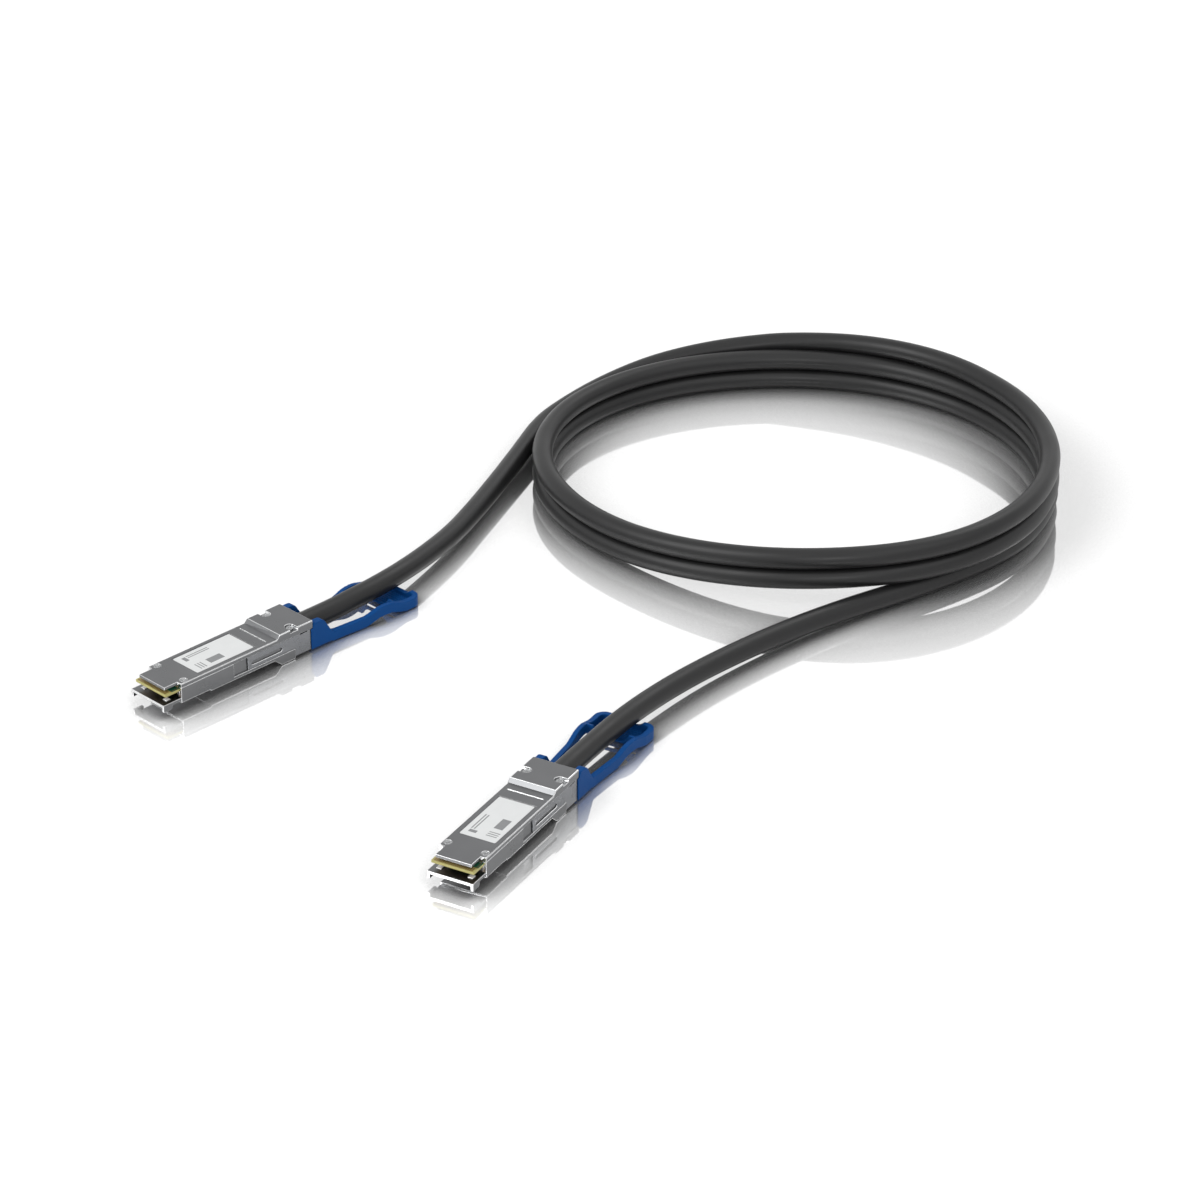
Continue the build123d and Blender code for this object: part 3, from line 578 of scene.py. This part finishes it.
def own_box(mesh: bpy.types.Mesh, seat: Seat) -> tuple[Point, Point]:
    """Gives a mesh's box in its connector's own millimetres.

    Args:
        mesh: A mesh in the part's metres.
        seat: Where the connector lies.

    Returns:
        The lowest and the highest corner.
    """
    own = seat.matrix().inverted()
    spread = list(zip(*(own @ vertex.co for vertex in mesh.vertices)))
    return tuple(map(min, spread)), tuple(map(max, spread))


@dataclass(frozen=True)
class Rounding:
    """How the outer edges of a metal piece are rounded off and given the bright edge material,
    partly wear and partly a painted highlight.

    Edges in the quiet box, which is in the connector's own millimetres, stay sharp.
    """

    width: float
    seat: Seat
    face: bpy.types.Material
    edge: bpy.types.Material
    quiet_low: Point = (0.0, 0.0, 0.0)
    quiet_high: Point = (0.0, 0.0, 0.0)
    sharpest: float = 38.0
    segments: int = 2

    @staticmethod
    def within(low: Point, place: Vector, high: Point) -> bool:
        """Says whether a place lies between two corners of a box."""
        return all(least <= value <= most for least, value, most in zip(low, place, high))

    def weigh(self, mesh: bpy.types.Mesh) -> None:
        """Marks the outer edges that get rounded.

        Args:
            mesh: A merged mesh, in the part's metres.
        """
        own = self.seat.matrix().inverted()
        work = bmesh.new()
        work.from_mesh(mesh)
        weights = work.edges.layers.float.new("bevel_weight_edge")
        for edge in work.edges:
            middle = own @ ((edge.verts[0].co + edge.verts[1].co) / 2)
            turn = edge.calc_face_angle_signed(0.0)
            hushed = self.within(self.quiet_low, middle, self.quiet_high)
            if turn > math.radians(self.sharpest) and not hushed:
                edge[weights] = 1.0
        work.to_mesh(mesh)
        work.free()

    def apply(self, node: str) -> bpy.types.Mesh:
        """Copies a node with its outer edges rounded off and given a painted highlight with some
        wear.

        Args:
            node: The node's name.

        Returns:
            The rounded mesh, with the face's material first and the edge's second.
        """
        mesh = merged_copy(node)
        low, high = own_box(mesh, self.seat)
        self.weigh(mesh)
        mesh.shade_smooth()
        dress(mesh, self.face, self.edge)
        holder = linked("holder", mesh)
        bevel = holder.modifiers.new("edges", "BEVEL")
        bevel.width = self.width * MM
        bevel.segments = self.segments
        bevel.limit_method = "WEIGHT"
        bevel.use_clamp_overlap = False
        bevel.loop_slide = False
        # The bevel faces take the bright edge material: a painted highlight, partly edge wear.
        bevel.material = EDGE_SLOT
        normals = holder.modifiers.new("normals", "WEIGHTED_NORMAL")
        normals.keep_sharp = True
        rounded = evaluated_mesh(holder, node)
        self.keep_in(rounded, low, high)
        return rounded

    def keep_in(self, mesh: bpy.types.Mesh, low: Point, high: Point) -> None:
        """Moves points that the rounding pushed out of the solid's box back onto it.

        Args:
            mesh: The rounded mesh, in the part's metres.
            low: The solid's lowest corner in the connector's own millimetres.
            high: Its highest corner.
        """
        placed = self.seat.matrix()
        own = placed.inverted()
        for vertex in mesh.vertices:
            spot = own @ vertex.co
            kept = [min(max(value, least), most) for least, value, most in zip(low, spot, high)]
            vertex.co = placed @ Vector(kept)


@dataclass(frozen=True)
class Moulding:
    """How a plastic piece is made soft at its edges, with sizes in millimetres."""

    cell: float = 0.2
    passes: int = 5
    softness: float = 0.5
    kept_share: float = 0.4

    def apply(self, node: str) -> bpy.types.Mesh:
        """Copies a node as a moulding whose edges are soft all over.

        Args:
            node: The node's name.

        Returns:
            The moulded mesh.
        """
        holder = linked("holder", merged_copy(node))
        remesh = holder.modifiers.new("cells", "REMESH")
        remesh.mode = "VOXEL"
        remesh.voxel_size = self.cell * MM
        remesh.use_smooth_shade = True
        smooth = holder.modifiers.new("soften", "SMOOTH")
        smooth.factor = self.softness
        smooth.iterations = self.passes
        thin = holder.modifiers.new("thin", "DECIMATE")
        thin.ratio = self.kept_share
        made = evaluated_mesh(holder, node)
        made.shade_smooth()
        return made


class PieceTree:
    """A Geometry Nodes tree with named inputs, which ends in one dressed mesh."""

    def __init__(self, name: str, kinds: dict[str, str]) -> None:
        """Starts the tree with its inputs.

        Args:
            name: The tree's name.
            kinds: The socket type of each named input, apart from the material.
        """
        self.tree = bpy.data.node_groups.new(name, "GeometryNodeTree")
        face = self.tree.interface
        face.new_socket("Geometry", in_out="OUTPUT", socket_type="NodeSocketGeometry")
        self.keys = {
            label: face.new_socket(label, in_out="INPUT", socket_type=kind).identifier
            for label, kind in {**kinds, "Material": "NodeSocketMaterial"}.items()
        }
        self.given = self.tree.nodes.new("NodeGroupInput")

    def feed(self, label: str, socket: bpy.types.NodeSocket) -> None:
        """Leads a named input to a socket of one of the tree's nodes."""
        self.tree.links.new(self.given.outputs[label], socket)

    def close(self, geometry: bpy.types.NodeSocket) -> None:
        """Ends the tree with real instances that have their material.

        Args:
            geometry: The socket of what the tree has made.
        """
        nodes = self.tree.nodes
        links = self.tree.links
        real = nodes.new("GeometryNodeRealizeInstances")
        links.new(geometry, real.inputs["Geometry"])
        dressed = nodes.new("GeometryNodeSetMaterial")
        links.new(real.outputs["Geometry"], dressed.inputs["Geometry"])
        self.feed("Material", dressed.inputs["Material"])
        out = nodes.new("NodeGroupOutput")
        links.new(dressed.outputs["Geometry"], out.inputs["Geometry"])

    def run(self, values: dict[str, object]) -> bpy.types.Mesh:
        """Makes the tree's mesh.

        Args:
            values: The value of each named input.

        Returns:
            The plain mesh, in the units of the values.
        """
        holder = linked("holder", bpy.data.meshes.new(self.tree.name))
        maker = holder.modifiers.new(self.tree.name, "NODES")
        maker.node_group = self.tree
        for label, value in values.items():
            maker[self.keys[label]] = value
        return evaluated_mesh(holder, self.tree.name)


class RowTree(PieceTree):
    """A tree that sets a row of plain blocks, such as contacts or pads."""

    def __init__(self) -> None:
        """Builds the tree."""
        kinds = {
            "Count": "NodeSocketInt",
            "First": "NodeSocketVector",
            "Step": "NodeSocketVector",
            "Block Size": "NodeSocketVector",
        }
        super().__init__("row_of_blocks", kinds)
        nodes = self.tree.nodes
        links = self.tree.links
        line = nodes.new("GeometryNodeMeshLine")
        self.feed("Count", line.inputs["Count"])
        self.feed("First", line.inputs["Start Location"])
        self.feed("Step", line.inputs["Offset"])
        block = nodes.new("GeometryNodeMeshCube")
        self.feed("Block Size", block.inputs["Size"])
        spread = nodes.new("GeometryNodeInstanceOnPoints")
        links.new(line.outputs["Mesh"], spread.inputs["Points"])
        links.new(block.outputs["Mesh"], spread.inputs["Instance"])
        self.close(spread.outputs["Instances"])

    def mesh(
        self, count: int, first: Point, step: Point, size: Point, material: bpy.types.Material
    ) -> bpy.types.Mesh:
        """Makes a row as a plain mesh.

        Args:
            count: How many blocks.
            first: The first block's centre.
            step: The way from one block to the next.
            size: A block's size.
            material: The blocks' material.

        Returns:
            The row's mesh, in the units of the sizes.
        """
        values = {
            "Count": count,
            "First": first,
            "Step": step,
            "Block Size": size,
            "Material": material,
        }
        return self.run(values)


class SpringTree(PieceTree):
    """A tree that winds a round wire into a coil spring."""

    TURN_STEPS: int = 20
    WIRE_SIDES: int = 8

    def __init__(self) -> None:
        """Builds the tree."""
        sizes = ("Turns", "Coil Radius", "Coil Length", "Wire Radius")
        super().__init__("wound_spring", {size: "NodeSocketFloat" for size in sizes})
        nodes = self.tree.nodes
        links = self.tree.links
        helix = nodes.new("GeometryNodeCurveSpiral")
        helix.inputs["Resolution"].default_value = self.TURN_STEPS
        self.feed("Turns", helix.inputs["Rotations"])
        self.feed("Coil Radius", helix.inputs["Start Radius"])
        self.feed("Coil Radius", helix.inputs["End Radius"])
        self.feed("Coil Length", helix.inputs["Height"])
        wire = nodes.new("GeometryNodeCurvePrimitiveCircle")
        wire.inputs["Resolution"].default_value = self.WIRE_SIDES
        self.feed("Wire Radius", wire.inputs["Radius"])
        drawn = nodes.new("GeometryNodeCurveToMesh")
        drawn.inputs["Fill Caps"].default_value = True
        links.new(helix.outputs["Curve"], drawn.inputs["Curve"])
        links.new(wire.outputs["Curve"], drawn.inputs["Profile Curve"])
        self.close(drawn.outputs["Mesh"])

    def mesh(
        self, turns: float, radius: float, length: float, wire: float, material: bpy.types.Material
    ) -> bpy.types.Mesh:
        """Makes a spring that stands on the origin along Z.

        Args:
            turns: How many turns it has.
            radius: The radius of its wire's middle line.
            length: The length of its wire's middle line.
            wire: The wire's radius.
            material: The wire's material.

        Returns:
            The spring's mesh, in the units of the sizes.
        """
        values = {
            "Turns": turns,
            "Coil Radius": radius,
            "Coil Length": length,
            "Wire Radius": wire,
            "Material": material,
        }
        return self.run(values)


@dataclass
class Cable:
    """The jacketed cable from the first head, round the coil, to the second head."""

    diameter: float = 8.2
    length: float = 2010.0
    centre: tuple[float, float] = (-235.0, 47.5)
    radius: float = 97.65
    oval: float = 4.1
    oval_turn: float = 107.0
    oval_waves: int = 2
    lobe: float = 1.8
    lobe_turn: float = 63.0
    lobe_waves: int = 3
    pitch: float = 8.3
    step: int = 10
    first_angle: int = 125
    last_angle: int = 885
    climb_start: float = -17.0
    climb_span: float = 81.0
    exit_place: Point = (-11.95, 0.0, 6.9)
    curve_order: int = 3
    curve_steps: int = 6
    round_steps: int = 7
    first_lead: list[Point] = field(
        default_factory=lambda: [
            (-7.95, 0.0, 6.9),
            (-20.0, 0.0, 6.9),
            (-30.0, 0.0, 6.9),
            (-39.5, -0.1, 7.3),
            (-50.6, -0.5, 7.5),
            (-66.5, -2.7, 7.3),
            (-83.9, -7.2, 6.4),
            (-105.3, -14.1, 5.5),
            (-125.7, -23.4, 5.0),
            (-141.6, -30.8, 5.1),
            (-159.2, -39.2, 5.4),
            (-175.4, -47.1, 5.9),
            (-191.7, -55.4, 6.2),
            (-205.1, -59.8, 6.4),
            (-226.4, -62.4, 7.4),
            (-244.6, -61.3, 9.0),
            (-260.6, -57.8, 10.7),
            (-274.0, -52.0, 12.2),
            (-286.0, -44.3, 13.8),
            (-296.5, -35.2, 15.4),
            (-306.8, -24.3, 17.0),
            (-321.4, -2.4, 18.8),
            (-330.2, 22.0, 20.0),
            (-332.9, 47.5, 20.5),
        ]
    )
    second_lead: list[Point] = field(
        default_factory=lambda: [
            (-266.0, 141.0, 4.1),
            (-242.5, 144.5, 4.1),
            (-217.0, 142.3, 4.1),
            (-193.0, 138.0, 4.1),
            (-170.0, 133.0, 4.4),
            (-145.5, 129.7, 5.0),
            (-120.0, 128.0, 5.5),
            (-94.0, 128.1, 6.1),
            (-70.6, 130.2, 6.9),
            (-46.0, 134.2, 7.3),
            (-18.3, 141.0, 6.9),
            (-2.88, 145.32, 6.9),
            (0.97, 146.4, 6.9),
        ]
    )

    def coil_point(self, angle: float) -> Point:
        """Gives a point of the coil's middle line.

        Args:
            angle: The angle about the coil's middle, in degrees, counted on from turn to turn.

        Returns:
            The point in millimetres.
        """
        oval = self.oval * math.cos(math.radians(self.oval_waves * (angle - self.oval_turn)))
        lobe = self.lobe * math.cos(math.radians(self.lobe_waves * (angle - self.lobe_turn)))
        reach = self.radius + oval + lobe
        turn = math.floor((angle - FULL_TURN / 2) / FULL_TURN)
        share = (angle - FULL_TURN * (turn + 1) - self.climb_start) / self.climb_span
        share = min(1.0, max(0.0, share))
        # A smooth step carries the cable up from one strand to the next.
        strand = turn + share * share * (3 - 2 * share)
        return (
            self.centre[0] + reach * math.cos(math.radians(angle)),
            self.centre[1] + reach * math.sin(math.radians(angle)),
            self.diameter / 2 + self.pitch * strand,
        )

    def route(self) -> list[Point]:
        """Gives the control points from the first head to the second."""
        angles = range(self.last_angle, self.first_angle - 1, -self.step)
        return [*self.first_lead, *(self.coil_point(angle) for angle in angles), *self.second_lead]

    def build(self, palette: Palette) -> None:
        """Args:
            palette: The materials.
        """
        line = bpy.data.curves.new("cable", "CURVE")
        line.dimensions = "3D"
        line.resolution_u = self.curve_steps
        line.bevel_depth = self.diameter / 2 * MM
        line.bevel_resolution = self.round_steps
        line.use_fill_caps = True
        points = self.route()
        spline = line.splines.new("NURBS")
        spline.points.add(len(points) - 1)
        for spot, point in zip(spline.points, points):
            spot.co = (*(value * MM for value in point), 1.0)
        spline.order_u = self.curve_order
        spline.use_endpoint_u = True
        spline.use_smooth = True
        line.materials.append(palette.jacket)
        cable = linked("cable", line)
        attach(cable, Body.FIXED.value)
        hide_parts("cable_lead_a", "cable_coil", "cable_lead_b")
        LOG.info("cable: %d control points on %s", len(points), Body.FIXED.value)


@dataclass
class Connector:
    """One connector with its pull tab, dressed in its own frame and set on its seat."""

    letter: str
    seat: Seat
    tab_body: Body
    joint: str
    palette: Palette
    rows: RowTree
    springs: SpringTree
    shell_edge: float = 0.13
    latch_edge: float = 0.2
    screw_edge: float = 0.08
    label_margin: float = 0.7
    lip_low: Point = (14.9, -10.0, 5.55)
    lip_high: Point = (29.8, 10.0, 6.45)
    lip_facing: float = 0.25
    front_facing: float = 0.9
    tongue_start: float = 65.0
    moulding: Moulding = Moulding()
    card_front: float = 69.62
    card_top: float = 9.0
    card_thickness: float = 1.0
    contact_count: int = 19
    contact_pitch: float = 0.8
    contact_rise: float = 0.01
    upper_contact: Point = (2.3, 0.44, 0.04)
    lower_contact: Point = (5.5, 0.5, 0.04)
    contact_setback: float = 0.25
    side_pad_count: int = 4
    side_pad_pitch: float = 0.95
    side_pad_size: Point = (0.5, 0.55, 0.03)
    side_pad_first: float = 63.7
    side_pad_across: float = 7.6
    plate_pad_count: int = 2
    plate_pad_place: Point = (67.5, 6.1, 5.7)
    plate_pad_size: Point = (1.9, 1.9, 0.04)
    label_front: float = 53.35
    label_top: float = 11.17
    print_thickness: float = 0.02
    print_fields: list[tuple[float, float, float, float]] = field(
        default_factory=lambda: [
            (3.2, -3.6, 1.6, 3.0),
            (3.2, 3.6, 0.45, 4.2),
            (4.4, 3.6, 0.45, 4.2),
            (5.6, 3.6, 0.45, 4.2),
            (11.5, 3.2, 6.6, 3.4),
            (9.6, -3.9, 10.0, 0.45),
            (9.6, -5.0, 10.0, 0.45),
        ]
    )
    pair_count: int = 8
    spring_place: Point = (6.5, 7.4, 5.7)
    spring_length: float = 6.0
    spring_diameter: float = 1.9
    spring_wire: float = 0.28
    spring_turns: float = 7.0
    spring_keep: float = 0.41

    def name(self, piece: str) -> str:
        """Gives the name of one of this connector's pieces."""
        return f"{piece}_{self.letter}"

    def build(self) -> None:
        """Builds and dresses every piece of the connector."""
        self.dress_metal()
        self.dress_tab()
        self.dress_inside()
        self.add_contacts()
        self.add_springs()
        self.add_label_fields()
        self.add_plate_pads()

    def dress_metal(self) -> None:
        """Rounds the edges of the cast halves, the latch slides and the screws, and paints
        highlights on the castings and slides.
        """
        palette = self.palette
        low, high = self.label_surround()
        casting = Rounding(self.shell_edge, self.seat, palette.cast, palette.edge, low, high)
        for piece in ("lower_shell", "top_cover"):
            node = self.name(piece)
            mesh = casting.apply(node)
            self.paint_front_highlight(mesh)
            show(self.name(f"{piece}_casting"), mesh, Body.FIXED, Slot.CAST, node)
        pressing = Rounding(self.latch_edge, self.seat, palette.latch, palette.edge)
        turning = Rounding(self.screw_edge, self.seat, palette.screw, palette.screw)
        for hand in ("left", "right"):
            node = self.name(f"latch_arm_{hand}")
            mesh = pressing.apply(node)
            self.paint_lip_highlight(mesh)
            show(self.name(f"latch_slide_{hand}"), mesh, self.tab_body, Slot.LATCH, node)
            for place in ("front", "rear"):
                node = self.name(f"{place}_screw_{hand}")
                name = self.name(f"{place}_cross_screw_{hand}")
                show(name, turning.apply(node), Body.FIXED, Slot.SCREW, node)

    def label_surround(self) -> tuple[Point, Point]:
        """Gives the box around the label's panel, in the connector's own millimetres.

        Returns:
            The lowest and the highest corner.
        """
        low, high = own_box(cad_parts[self.name("label")].data, self.seat)
        margin = self.label_margin
        return tuple(value - margin for value in low), tuple(value + margin for value in high)

    def paint_front_highlight(self, mesh: bpy.types.Mesh) -> None:
        """Paints a highlight on a casting's forward faces with the bright edge material, but not on
        the tongue's end.

        Args:
            mesh: The casting's mesh, whose second material is the bright one.
        """
        forward = self.seat.forward()
        own = self.seat.matrix().inverted()
        for polygon in mesh.polygons:
            place = own @ polygon.center
            on_tongue = place.x > self.tongue_start and place.z > self.card_top
            if polygon.normal.dot(forward) > self.front_facing and not on_tongue:
                polygon.material_index = EDGE_SLOT

    def paint_lip_highlight(self, mesh: bpy.types.Mesh) -> None:
        """Paints a highlight on the lower lip of a latch slide's slot only, with the bright edge
        material.

        Args:
            mesh: The slide's mesh, whose second material is the bright one.
        """
        own = self.seat.matrix().inverted()
        for polygon in mesh.polygons:
            on_lip = Rounding.within(self.lip_low, own @ polygon.center, self.lip_high)
            bright = on_lip and polygon.normal.z > self.lip_facing
            polygon.material_index = EDGE_SLOT if bright else FACE_SLOT

    def dress_tab(self) -> None:
        """Softens the pull tab as a moulding."""
        node = self.name("pull_tab")
        mesh = self.moulding.apply(node)
        dress(mesh, self.palette.tab)
        show(self.name("pull_tab_moulding"), mesh, self.tab_body, Slot.TAB, node)

    def dress_inside(self) -> None:
        """Gives the card, the label and the pieces inside their materials."""
        dressed = {
            "paddle_card": self.palette.board(self.seat),
            "memory_chip": self.palette.chip,
            "label": self.palette.label,
            "crimp_ferrule": self.palette.brass,
        }
        for number in range(1, self.pair_count + 1):
            dressed[f"twinax_pair_{number}"] = self.palette.sleeve
        for piece, material in dressed.items():
            dress(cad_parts[self.name(piece)].data, material)
            LOG.info("%s: dressed in %s", self.name(piece), material.name)

    def add_contacts(self) -> None:
        """Sets the contacts on both faces of the card and the small pads beside the tongue."""
        span = (self.contact_count - 1) * self.contact_pitch
        above = self.card_top + self.contact_rise
        below = self.card_top - self.card_thickness - self.contact_rise
        faces = {
            "upper": (above, self.upper_contact, self.palette.gold),
            # The lower contacts take the lighter, painted-light copy of the gold.
            "lower": (below, self.lower_contact, self.palette.painted_lit_gold),
        }
        for face, (height, size, material) in faces.items():
            along = self.card_front - self.contact_setback - size[0] / 2
            first = (along, -span / 2, height)
            step = (0.0, self.contact_pitch, 0.0)
            mesh = self.rows.mesh(self.contact_count, first, step, size, material)
            mesh.transform(self.seat.matrix())
            show(self.name(f"{face}_contacts"), mesh, Body.FIXED, Slot.BOARD)
        for side, hand in ((1, "left"), (-1, "right")):
            first = (self.side_pad_first, side * self.side_pad_across, above)
            step = (self.side_pad_pitch, 0.0, 0.0)
            size = self.side_pad_size
            mesh = self.rows.mesh(self.side_pad_count, first, step, size, self.palette.gold)
            mesh.transform(self.seat.matrix())
            show(self.name(f"card_pads_{hand}"), mesh, Body.FIXED, Slot.BOARD)

    def add_springs(self) -> None:
        """Winds the two return springs."""
        steel = self.palette.spring
        forward = self.seat.forward()
        wire = self.spring_wire / 2
        radius = self.spring_diameter / 2 - wire
        length = self.spring_length - self.spring_wire
        start, across, height = self.spring_place
        for side, hand in ((1, "left"), (-1, "right")):
            mesh = self.springs.mesh(self.spring_turns, radius, length, wire, steel)
            laid = Matrix.Translation((start + wire, side * across, height))
            mesh.transform(self.seat.matrix() @ laid @ Matrix.Rotation(math.pi / 2, 4, "Y"))
            node = self.name(f"return_spring_{hand}")
            name = self.name(f"return_coil_{hand}")
            spring = show(name, mesh, Body.FIXED, Slot.SPRING, node)
            anchor = self.seat.point(start, side * across, height)
            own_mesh(spring)

    def add_label_fields(self) -> None:
        """Lays plain grey fields on the label, with no writing in them.

        A field has its way back from the label's front, its place across, its length and its width.
        """
        work = bmesh.new()
        for back, across, length, width in self.print_fields:
            placed = Matrix.Translation((self.label_front - back, across, self.label_top))
            sized = Matrix.Diagonal((length, width, self.print_thickness, 1.0))
            bmesh.ops.create_cube(work, size=1.0, matrix=placed @ sized)
        mesh = bpy.data.meshes.new("fields")
        work.to_mesh(mesh)
        work.free()
        mesh.transform(self.seat.matrix())
        dress(mesh, self.palette.print)
        show(self.name("label_fields"), mesh, Body.FIXED, Slot.LABEL)

    def add_plate_pads(self) -> None:
        """Plates the two small pads of the tongue plate."""
        nickel = self.palette.nickel
        along, across, height = self.plate_pad_place
        first = (along, -across, height)
        step = (0.0, 2 * across, 0.0)
        mesh = self.rows.mesh(self.plate_pad_count, first, step, self.plate_pad_size, nickel)
        mesh.transform(self.seat.matrix())
        show(self.name("plate_pads"), mesh, Body.FIXED, Slot.SCREW)


@dataclass(frozen=True)
class Softbox:
    """A studio light that faces the object, with angles in degrees and sizes in metres."""

    side: str
    azimuth: float
    elevation: float
    size: tuple[float, float]
    radiance: float
    distance: float = 1.8
    target: Point = (-0.08, 0.07, 0.0)

    def build(self) -> None:
        """Makes the light."""
        name = f"{self.side}_softbox"
        width, height = self.size
        lamp = bpy.data.lights.new(name, "AREA")
        lamp.shape = "RECTANGLE"
        lamp.size = width
        lamp.size_y = height
        lamp.energy = self.radiance * math.pi * width * height
        rise = math.radians(self.elevation)
        swing = math.radians(self.azimuth)
        level = math.cos(rise)
        away = Vector((level * math.cos(swing), level * math.sin(swing), math.sin(rise)))
        light = linked(name, lamp)
        light.location = Vector(self.target) + away * self.distance
        light.rotation_mode = "QUATERNION"
        light.rotation_quaternion = away.to_track_quat("Z", "Y")


@dataclass
class Studio:
    """The pale floor, the soft light and the camera, with sizes in metres."""

    camera_place: Point = (0.8538, 1.0151, 0.7401)
    camera_target: Point = (-0.114, 0.0568, 0.0)
    lens: float = 123.3
    sensor_width: float = 36.0
    clip_start: float = 0.05
    clip_end: float = 50.0
    floor_size: float = 12.0
    floor_drop: float = 0.0002
    floor_tone: float = 0.97
    near_mirror: float = 0.72
    far_mirror: float = 0.3
    # The floor's colour right at the object: a painted contact shadow.
    painted_shadow_tone: float = 0.4
    fade_distance: float = 0.045
    fade_samples: int = 6
    fade_start: float = 0.55
    fade_end: float = 0.97
    mirror_roughness: float = 0.05
    near_lift: float = 0.12
    far_lift: float = 0.42
    lift_start: float = 0.5
    lift_end: float = 2.0
    ambient: float = 0.46
    softboxes: list[Softbox] = field(
        default_factory=lambda: [
            Softbox("left", azimuth=-22.0, elevation=40.0, size=(1.1, 1.15), radiance=4.6),
            Softbox("back", azimuth=188.0, elevation=46.0, size=(0.9, 0.57), radiance=2.2),
            Softbox("right", azimuth=95.0, elevation=48.0, size=(1.35, 1.05), radiance=1.1),
            Softbox("overhead", azimuth=0.0, elevation=90.0, size=(1.5, 1.5), radiance=0.4),
            Softbox(
                "front", azimuth=46.0, elevation=26.0, size=(0.8, 0.35), radiance=7.5, distance=2.0
            ),
        ]
    )

    def build(self) -> None:
        """Makes the floor, the lights, the world and the camera."""
        self.lay_floor()
        for softbox in self.softboxes:
            softbox.build()
        self.light_world()
        self.set_camera()

    @staticmethod
    def seen(tree: bpy.types.NodeTree) -> bpy.types.NodeSocket:
        """Adds the test of whether a ray shows its surface, directly or in metal and glass.

        Args:
            tree: The node tree that gets the test.

        Returns:
            The socket that is 1 where the surface shows.
        """
        path = tree.nodes.new("ShaderNodeLightPath")
        shown = path.outputs["Is Camera Ray"]
        for kind in ("Is Glossy Ray", "Is Transmission Ray"):
            shown = reckoned(tree, "MAXIMUM", shown, path.outputs[kind])
        return shown

    def floor_material(self) -> bpy.types.Material:
        """Makes the pale floor, whose soft mirror and painted contact shadow fade away from the
        object.

        Returns:
            The floor's material.
        """
        made = bpy.data.materials.new("pale_floor")
        made.use_nodes = True
        tree = made.node_tree
        nodes = tree.nodes
        links = tree.links
        nodes.remove(nodes["Principled BSDF"])
        openness = nodes.new("ShaderNodeAmbientOcclusion")
        openness.samples = self.fade_samples
        openness.inputs["Distance"].default_value = self.fade_distance
        # Near the object the floor's colour falls to the painted shadow tone and its glow to
        # nothing: a painted contact shadow over the real one.
        fade = (self.fade_start, self.fade_end)
        ends = {
            "mirror": (self.near_mirror, self.far_mirror),
            "tone": (self.painted_shadow_tone, self.floor_tone),
            "lift": (0.0, 1.0),
        }
        faded = {
            name: mapped(tree, openness.outputs["AO"], fade, pair) for name, pair in ends.items()
        }
        matt = nodes.new("ShaderNodeBsdfDiffuse")
        links.new(faded["tone"], matt.inputs["Color"])
        mirror = nodes.new("ShaderNodeBsdfGlossy")
        mirror.inputs["Color"].default_value = WHITE
        mirror.inputs["Roughness"].default_value = self.mirror_roughness
        mixed = nodes.new("ShaderNodeMixShader")
        links.new(faded["mirror"], mixed.inputs["Fac"])
        links.new(matt.outputs["BSDF"], mixed.inputs[1])
        links.new(mirror.outputs["BSDF"], mixed.inputs[2])
        reach = nodes.new("ShaderNodeVectorMath")
        reach.operation = "LENGTH"
        links.new(nodes.new("ShaderNodeTexCoord").outputs["Object"], reach.inputs[0])
        lift_range = (self.lift_start, self.lift_end)
        strength = mapped(tree, reach.outputs["Value"], lift_range, (self.near_lift, self.far_lift))
        for share in (faded["lift"], self.seen(tree)):
            strength = reckoned(tree, "MULTIPLY", strength, share)
        glow = nodes.new("ShaderNodeEmission")
        links.new(strength, glow.inputs["Strength"])
        both = nodes.new("ShaderNodeAddShader")
        links.new(mixed.outputs["Shader"], both.inputs[0])
        links.new(glow.outputs["Emission"], both.inputs[1])
        links.new(both.outputs["Shader"], nodes["Material Output"].inputs["Surface"])
        return made

    def lay_floor(self) -> None:
        """Lays the pale floor under the object."""
        work = bmesh.new()
        bmesh.ops.create_grid(work, x_segments=1, y_segments=1, size=self.floor_size / 2)
        mesh = bpy.data.meshes.new("floor")
        work.to_mesh(mesh)
        work.free()
        mesh.materials.append(self.floor_material())
        floor = linked("floor", mesh)
        floor.location = (0.0, 0.0, -self.floor_drop)

    def light_world(self) -> None:
        """Gives an even surround that the camera and reflections see as white."""
        world = bpy.data.worlds.new("studio")
        world.use_nodes = True
        bpy.context.scene.world = world
        tree = world.node_tree
        strength = mapped(tree, self.seen(tree), (0.0, 1.0), (self.ambient, 1.0))
        surround = tree.nodes["Background"]
        surround.inputs["Color"].default_value = WHITE
        tree.links.new(strength, surround.inputs["Strength"])

    def set_camera(self) -> None:
        """Sets the camera at the photograph's viewing angle."""
        lens = bpy.data.cameras.new("camera")
        lens.lens = self.lens
        lens.sensor_width = self.sensor_width
        lens.clip_start = self.clip_start
        lens.clip_end = self.clip_end
        camera = linked("camera", lens)
        camera.location = self.camera_place
        camera.rotation_mode = "QUATERNION"
        facing = Vector(self.camera_target) - Vector(self.camera_place)
        camera.rotation_quaternion = facing.to_track_quat("-Z", "Y")
        bpy.context.scene.camera = camera
        bpy.context.scene.view_settings.view_transform = "Standard"


def main() -> None:
    """Builds the cable, the two connectors and the studio."""
    logging.basicConfig(level=logging.INFO, format="%(message)s")
    palette = Palette()
    rows = RowTree()
    springs = SpringTree()
    Cable().build(palette)
    first = Seat(x=0.0, y=0.0, turn=0.0)
    second = Seat(x=8.63, y=148.54, turn=15.64)
    Connector("a", first, Body.TAB_A, "pull_a", palette, rows, springs).build()
    Connector("b", second, Body.TAB_B, "pull_b", palette, rows, springs).build()
    Studio().build()


if __name__ == "__main__":
    main()
